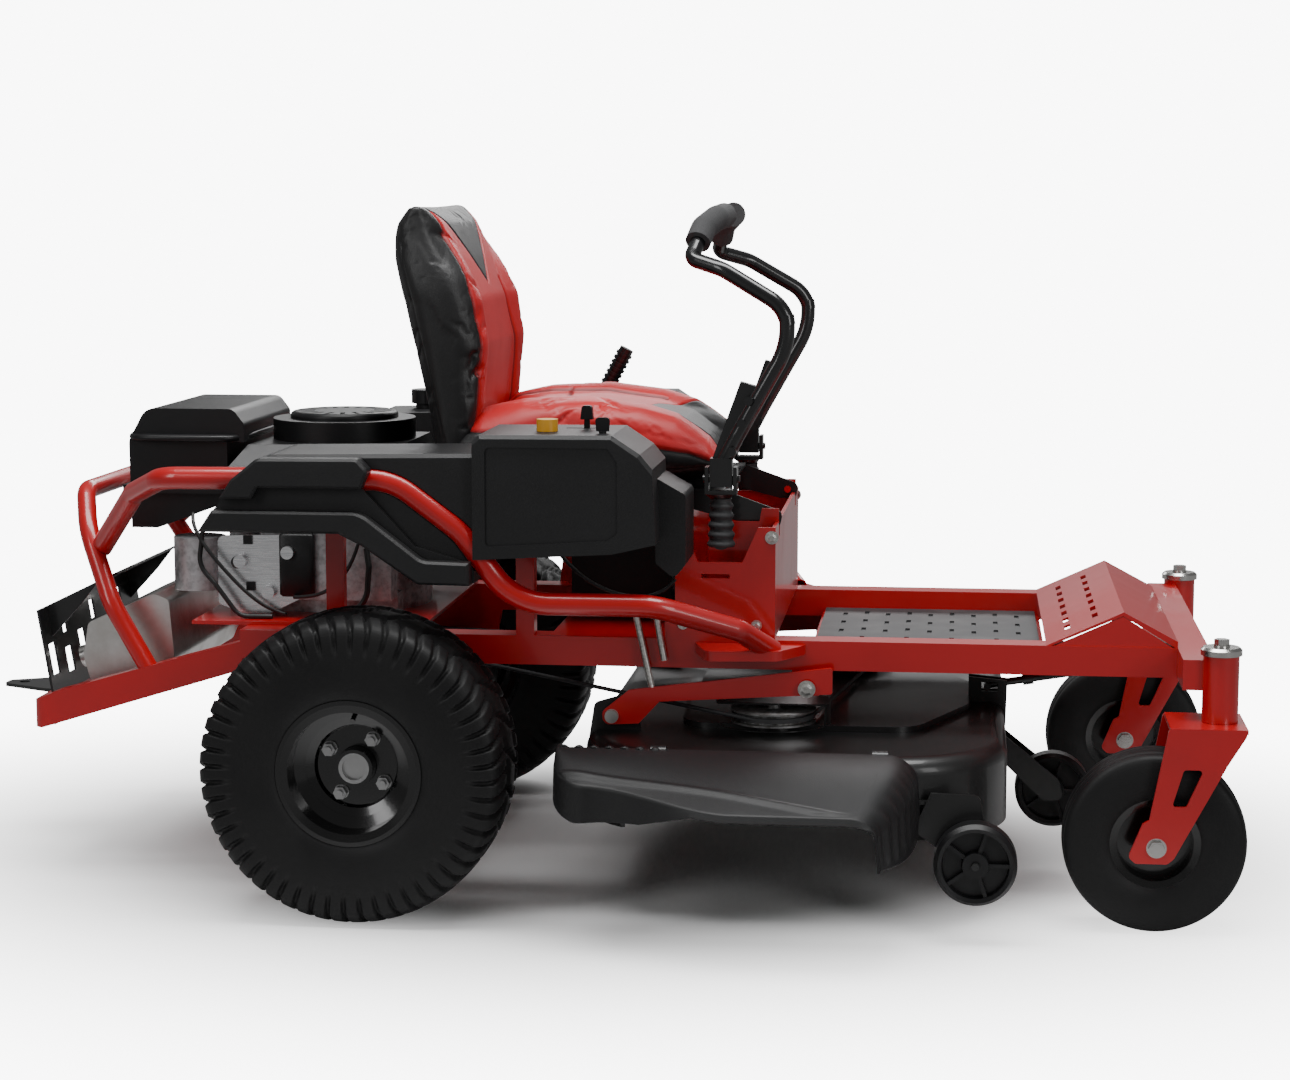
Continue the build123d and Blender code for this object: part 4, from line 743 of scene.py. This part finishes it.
def cushion_shape():
    along = np.linspace(0, 1, 90)
    x = 0.106 + 0.454 * (0.5 - 0.5 * np.cos(np.pi * along)) ** 0.92
    swell = end_swell(along, 0.13)
    high, low = np.interp(x, top_x, top_z), np.interp(x, low_x, low_z)
    rings = []
    for station, s, top, base in zip(x, swell, high, low):
        across, up = rounded_section(120, 3.6,
            half_width * (0.985 - 0.06 * smooth_step(station, 0.42, 0.57)) * (0.9 + 0.1 * s), 1.0)
        middle, depth = (top + base) / 2, (top - base) / 2 * max(s, 0.02)
        side = smooth_step(np.abs(across), 0.105, 0.165) * (1 - smooth_step(np.abs(across), 0.2, 0.245))
        dish = 0.012 * side - 0.010 * (1 - smooth_step(np.abs(across), 0.10, 0.16))
        lift = dish * np.clip(up, 0, 1) * s
        rings.append(np.stack([np.full(120, station), across, middle + depth * up + lift], axis=1))
    return capped(np.array(rings))


def cushion_zone(x, y, z):
    side_line = np.interp(x, [0.1, 0.2, 0.35, 0.5, 0.56], [0.755, 0.752, 0.745, 0.722, 0.700])
    insert = np.abs(y) - 0.16 * np.sqrt(np.clip((x - 0.415) / 0.07, 0, 1))
    insert = np.where(x > 0.405, insert, 0.05)
    return np.minimum(z - side_line, insert)


def cushion_seams(x, y, z):
    top = z > np.interp(x, low_x, low_z) + 0.045
    inner = np.where(top & (x < 0.43), np.abs(y) - 0.142 + 0.02 * smooth_step(x, 0.1, 0.4), 1.0)
    pleat = np.where(top & (np.abs(y) < 0.14) & (x < 0.41), x - 0.255, 1.0)
    return [(cushion_zone(x, y, z), 0.0032, 0.0030), (inner, 0.0045, 0.0042), (pleat, 0.0045, 0.0034),
            (z - np.interp(x, low_x, low_z) - 0.020, 0.0025, 0.0018)]


seat_vinyl = vinyl("seat_vinyl")
padded_piece("cushion_cover", "seat_cushion", cushion_shape(), cushion_zone, cushion_seams, seat_vinyl,
    0.008)

# %% Backrest
back_z = np.array([0.676, 0.772, 0.921, 1.040, 1.100, 1.131])
rear_x = np.array([0.090, 0.067, 0.031, 0.004, 0.001, 0.020])
front_z = np.array([0.676, 0.740, 0.791, 0.895, 0.969, 1.039, 1.100, 1.131])
front_x = np.array([0.112, 0.128, 0.140, 0.151, 0.141, 0.113, 0.086, 0.062])
back_low, back_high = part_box("seat_backrest")
back_half = (back_high.y - back_low.y) / 2


def backrest_shape():
    along = np.linspace(0, 1, 100)
    z = 0.682 + 0.449 * (0.5 - 0.5 * np.cos(np.pi * along)) ** 0.96
    swell = end_swell(along, 0.09)
    rings = []
    for station, s in zip(z, swell):
        rear, front = np.interp(station, back_z, rear_x), np.interp(station, front_z, front_x)
        width = back_half * (0.99 - 0.14 * smooth_step(station, 0.98, 1.14)) * (0.86 + 0.14 * s)
        across, ahead = rounded_section(130, 4.0, width, 1.0)
        wing = smooth_step(np.abs(across), 0.12, 0.19) * (1 - smooth_step(station, 1.0, 1.09))
        dish = (0.010 * wing - 0.010 * (1 - wing)) * np.clip(ahead, 0, 1) * s
        middle, depth = (rear + front) / 2, (front - rear) / 2 * max(s, 0.02)
        rings.append(np.stack([middle + depth * ahead + dish, across, np.full(130, station)], axis=1))
    return capped(np.array(rings))


def backrest_zone(x, y, z):
    side = x - (np.interp(z, front_z, front_x) - 0.016)
    wing = 0.206 - 0.040 * smooth_step(z, 0.96, 1.10) - np.abs(y)
    wedge = np.abs(y) - 0.155 * (z - 0.995) / 0.12
    return np.minimum(np.minimum(side, wing), wedge)


def backrest_seams(x, y, z):
    ahead = x > (np.interp(z, front_z, front_x) + np.interp(z, back_z, rear_x)) / 2
    inner = np.where(ahead & (z < 1.0), np.abs(y) - 0.150 + 0.03 * smooth_step(z, 0.85, 1.0), 1.0)
    rear_seam = x - np.interp(z, back_z, rear_x) - 0.016
    return [(backrest_zone(x, y, z), 0.0032, 0.0030), (inner, 0.0045, 0.0030), (rear_seam, 0.0025, 0.0018)]


padded_piece("backrest_cover", "seat_backrest", backrest_shape(), backrest_zone, backrest_seams,
    seat_vinyl, 0.008)

# %% [markdown]
# ## Chute deflector
# The deflector is one moulded sheet. It slopes from the hinge to an outer lip, its skirt is deep behind the
# mouth and shallow over it, and its front end bends down into a ribbed wall that meets the grass first.


# %% Chute deflector
def deflector_points(rows=300, columns=120):
    """The sheet's upper side: an across profile carried along the roof and down the front bend."""
    bend_x, bend_r = 0.838, 0.042
    roof_len, quarter = 0.508, bend_r * np.pi / 2
    length = np.linspace(0, 1, rows) * (roof_len + quarter + 0.075)
    roof = np.minimum(length, roof_len)
    arc = np.clip(length - roof_len, 0, quarter)
    wall = np.clip(length - roof_len - quarter, 0, None)
    x = bend_x - roof_len + roof + bend_r * np.sin(arc / bend_r) + 0.06 * wall
    drop = bend_r * (1 - np.cos(arc / bend_r)) + wall
    v = np.linspace(0, 1, columns)
    slope, edge = np.clip(v / 0.72, 0, 1), np.clip((v - 0.72) / 0.28, 0, 1)
    t = smooth_step(x, 0.38, 0.62)
    lip_y, lip_z = -0.655 - 0.083 * t, 0.256 - 0.020 * t
    skirt = np.interp(x, [0.33, 0.37, 0.475, 0.555], [0.050, 0.056, 0.040, 0.009])
    skirt = skirt * (1 - 0.7 * smooth_step(drop, 0.0, 0.03))
    round_end = np.sqrt(np.clip((x - 0.330) / 0.060, 0.0, 1))
    round_end = 0.25 + 0.75 * np.where(x < 0.39, np.sqrt(1 - (1 - round_end**2) ** 2), 1)
    hinge_y, hinge_z = -0.524, 0.286
    reach = (lip_y - hinge_y) * round_end
    y = hinge_y + reach[:, None] * slope[None] - 0.006 * edge[None] * (skirt[:, None] > 0)
    crown = 0.010 * np.sin(np.pi * slope)[None] * (1 - smooth_step(drop, 0, 0.05))[:, None]
    z = hinge_z + ((lip_z - hinge_z) * round_end)[:, None] * (slope**1.15)[None] + crown
    z = z - skirt[:, None] * edge[None] - drop[:, None] * (1 - 0.36 * slope[None] ** 2)
    turn = smooth_step(drop, 0.002, 0.03) * (1 - smooth_step(drop, 0.085, 0.115))
    rib = 0.0035 * (0.5 + 0.5 * np.cos(2 * np.pi * (y + 0.524) / 0.031)) * turn[:,
        None] * (slope < 0.97)[None]
    x_full = x[:, None] + rib - 0.052 * (slope**2)[None] * smooth_step(x, 0.58, 0.84)[:, None]
    line = (x_full - 0.64) * 0.26 + (y + 0.70)
    crease = 0.0035 * np.exp(-((line / 0.006) ** 2)) * (drop < 0.002)[:,
        None] * (slope > 0.25)[None] * (slope < 0.98)[None]
    scallop = 0.004 * np.maximum(0, np.cos(2 * np.pi * x_full / 0.024)) * (slope[None] < 0.06) * (x_full < 0.50)
    return np.stack([x_full, y, z + crease + scallop + 0.3 * rib], axis=-1)


top_sheet = deflector_points()
deflector = make_piece("deflector_sheet", "chute_deflector", chute_plastic, top_sheet,
                       grid_faces(*top_sheet.shape[:2]), outward=False)
wall = deflector.modifiers.new("wall", "SOLIDIFY")
wall.thickness, wall.offset = 0.0042, -1.0
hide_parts("chute_deflector")

# %% [markdown]
# ## Fasteners, controls and engine dressing
# Small parts that a photograph of a mower always shows: bolt heads, washers, the covers and cables
# on the engine, and the boots of the controls.


# %% Small parts
def prism(sides, place, axis, radius, height, turn=0.0, dome=0.0):
    """A closed prism that stands on place along axis; dome rounds its far end."""
    axis = np.asarray(axis, float) / np.linalg.norm(axis)
    first = np.cross(axis, (0.0, 0.0, 1.0) if abs(axis[2]) < 0.9 else (1.0, 0.0, 0.0))
    first /= np.linalg.norm(first)
    second = np.cross(axis, first)
    angle = np.linspace(0, 2 * np.pi, sides, endpoint=False) + turn
    ring = np.cos(angle)[:, None] * first + np.sin(angle)[:, None] * second
    levels = [(0.0, 1.0), (height * (1 - dome), 1.0), (height, 1.0 - 0.35 * bool(dome) - 0.06)]
    rings = np.array([np.asarray(place, float) + axis * up + ring * radius * part for up, part in levels])
    return capped(rings)


def joined(parts):
    """Several ring grids as one list of points and faces."""
    points, faces, start = [], [], 0
    for rings in parts:
        points.append(rings.reshape(-1, 3))
        faces.append(grid_faces(*rings.shape[:2], close_columns=True) + start)
        start += rings.shape[0] * rings.shape[1]
    return np.concatenate(points), np.concatenate(faces)


def bolts(name, body, finish, heads):
    """Hex heads on washers; each is a place, an axis, the radius of its hexagon and the hexagon's turn."""
    parts = []
    for place, axis, radius, turn in heads:
        parts.append(prism(28, place, axis, radius * 1.35, radius * 0.22))
        parts.append(prism(6, place, axis, radius, radius * 0.85, turn, 0.15))
    points, faces = joined(parts)
    return make_piece(name, body, finish, points, faces, smooth=False)


rail_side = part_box("seat_tower")[1].y
arm_side = arm_high.y
frame_heads = []
for side in (-1, 1):
    out = (0.0, float(side), 0.0)
    frame_heads += [
        ((0.644, side * (rail_side + 0.0002), 0.596), out, 0.008, 0.2),
        ((0.5, side * (rail_side + 0.0002), 0.452), out, 0.0065, 0.5),
        ((0.62, side * (rail_side + 0.0002), 0.452), out, 0.0065, 0.1),
    ]
bolts("frame_bolts", "chassis", zinc, frame_heads)
bolts("arm_bolts", "lift_arms", zinc,
      [((0.704, side * (arm_side + 0.0002), 0.355), (0.0, float(side), 0.0), 0.0105, 0.3) for side in (-1,
      1)])

cover_side = 0.2062
dressing = []
for side in (-1, 1):
    out = (0.0, float(side), 0.0)
    dressing.append(prism(30, (-0.268, side * cover_side, 0.528), out, 0.0105, 0.012, 0, 0.4))
    for x, z in ((-0.250, 0.566), (-0.246, 0.487)):
        dressing.append(prism(4, (x, side * cover_side, z), out, 0.0105, 0.004, 0.785))
points, faces = joined(dressing)
make_piece("cover_fittings", "chassis", small_plastic, points, faces, smooth=False)


def soft_box(low, high, edge):
    """A box with its four upright corners and its rim rounded, as one closed grid."""
    low, high = np.asarray(low, float), np.asarray(high, float)
    middle, half = (low + high) / 2, (high - low) / 2
    turn = np.linspace(0, 2 * np.pi, 40, endpoint=False)
    c, s = np.cos(turn), np.sin(turn)
    plan = np.stack([np.sign(c) * np.abs(c) ** 0.35, np.sign(s) * np.abs(s) ** 0.35], axis=1)
    levels = [(-1.0, edge), (-1.0 + edge / half[2], 0.0), (1.0 - edge / half[2], 0.0), (1.0, edge)]
    grid = [np.column_stack([middle[0] + plan[:, 0] * (half[0] - inset),
        middle[1] + plan[:, 1] * (half[1] - inset),
                             np.full(40, middle[2] + up * half[2])]) for up, inset in levels]
    return capped(np.array(grid))


rims = [soft_box((-0.4765, -0.1835, 0.7285), (-0.2635, 0.1835, 0.7395), 0.003)]
points, faces = joined(rims)
make_piece("air_cleaner_rim", "chassis", engine_plastic, points, faces)

cowls = [soft_box((-0.196, min(side * 0.196, side * 0.212), 0.470),
    (-0.136, max(side * 0.196, side * 0.212), 0.578), 0.004)
         for side in (-1, 1)]
points, faces = joined(cowls)
make_piece("cylinder_cowls", "chassis", engine_plastic, points, faces)

for side, word in ((-1, "right"), (1, "left")):
    up = np.linspace(0, 1, 36)
    stem = np.stack([np.full(36, 0.560), np.full(36, side * 0.283), 0.578 + 0.078 * up], axis=1)
    tube_piece(f"lever_boot_{word}", f"lever_pivot_{word}", mat_rubber, stem,
               0.0215 - 0.004 * up + 0.0018 * np.sin(up * 2 * np.pi * 5), 28)

for number, path in enumerate([
    [(-0.345, -0.205, 0.610), (-0.340, -0.226, 0.590), (-0.315, -0.232, 0.552), (-0.287, -0.228, 0.518),
    (-0.252, -0.226, 0.480),
     (-0.216, -0.222, 0.452), (-0.185, -0.212, 0.440)],
    [(-0.170, -0.214, 0.470), (-0.120, -0.235, 0.476), (-0.085, -0.240, 0.500), (-0.060, -0.235, 0.540),
    (-0.045, -0.225, 0.600)],
    [(0.30, -0.300, 0.560), (0.34, -0.312, 0.520), (0.41, -0.312, 0.492), (0.47, -0.308, 0.500),
    (0.50, -0.300, 0.540)],
]):
    tube_piece(f"engine_lead_{number}", "chassis", cable_plastic, soft_curve(path, 60),
        0.0032, 10)

# %% Floor
floor_finish = Finish("pale_floor", (0.86, 0.86, 0.86), 0.6)
floor_finish.set(roughness=0.55 + 0.1 * floor_finish.noise(2.0))
floor_x, floor_y, _ = floor_finish.axes()
# Away from the mower the floor glows: painted brightness, strong to the camera and faint to other rays, that
# washes out the shadows cast there.
floor_reach = ((floor_x - centre.x) * (floor_x - centre.x) * 0.62 + floor_y * floor_y * 1.3) ** 0.5
glow = floor_finish.tree.nodes.new("ShaderNodeEmission")
fade = floor_finish.tree.nodes.new("ShaderNodeMixShader")
seen_here = floor_finish.node("ShaderNodeLightPath")["Is Camera Ray"]
floor_finish.feed(glow.inputs["Color"], floor_finish.mix(seen_here, (0.3, 0.3, 0.3), (9.0, 9.0, 9.0)))
floor_finish.feed(fade.inputs[0], floor_reach.over(0.50, 1.75))
floor_finish.tree.links.new(floor_finish.shader.outputs["BSDF"], fade.inputs[1])
floor_finish.tree.links.new(glow.outputs["Emission"], fade.inputs[2])
floor_finish.tree.links.new(fade.outputs["Shader"],
    floor_finish.tree.nodes["Material Output"].inputs["Surface"])
floor_mesh = bpy.data.meshes.new("floor")
floor_mesh.from_pydata([(-30, -30, 0), (30, -30, 0), (30, 30, 0), (-30, 30, 0)], [], [(0, 1, 2, 3)])
floor_mesh.materials.append(floor_finish.material)
floor = bpy.data.objects.new("floor", floor_mesh)
bpy.context.collection.objects.link(floor)
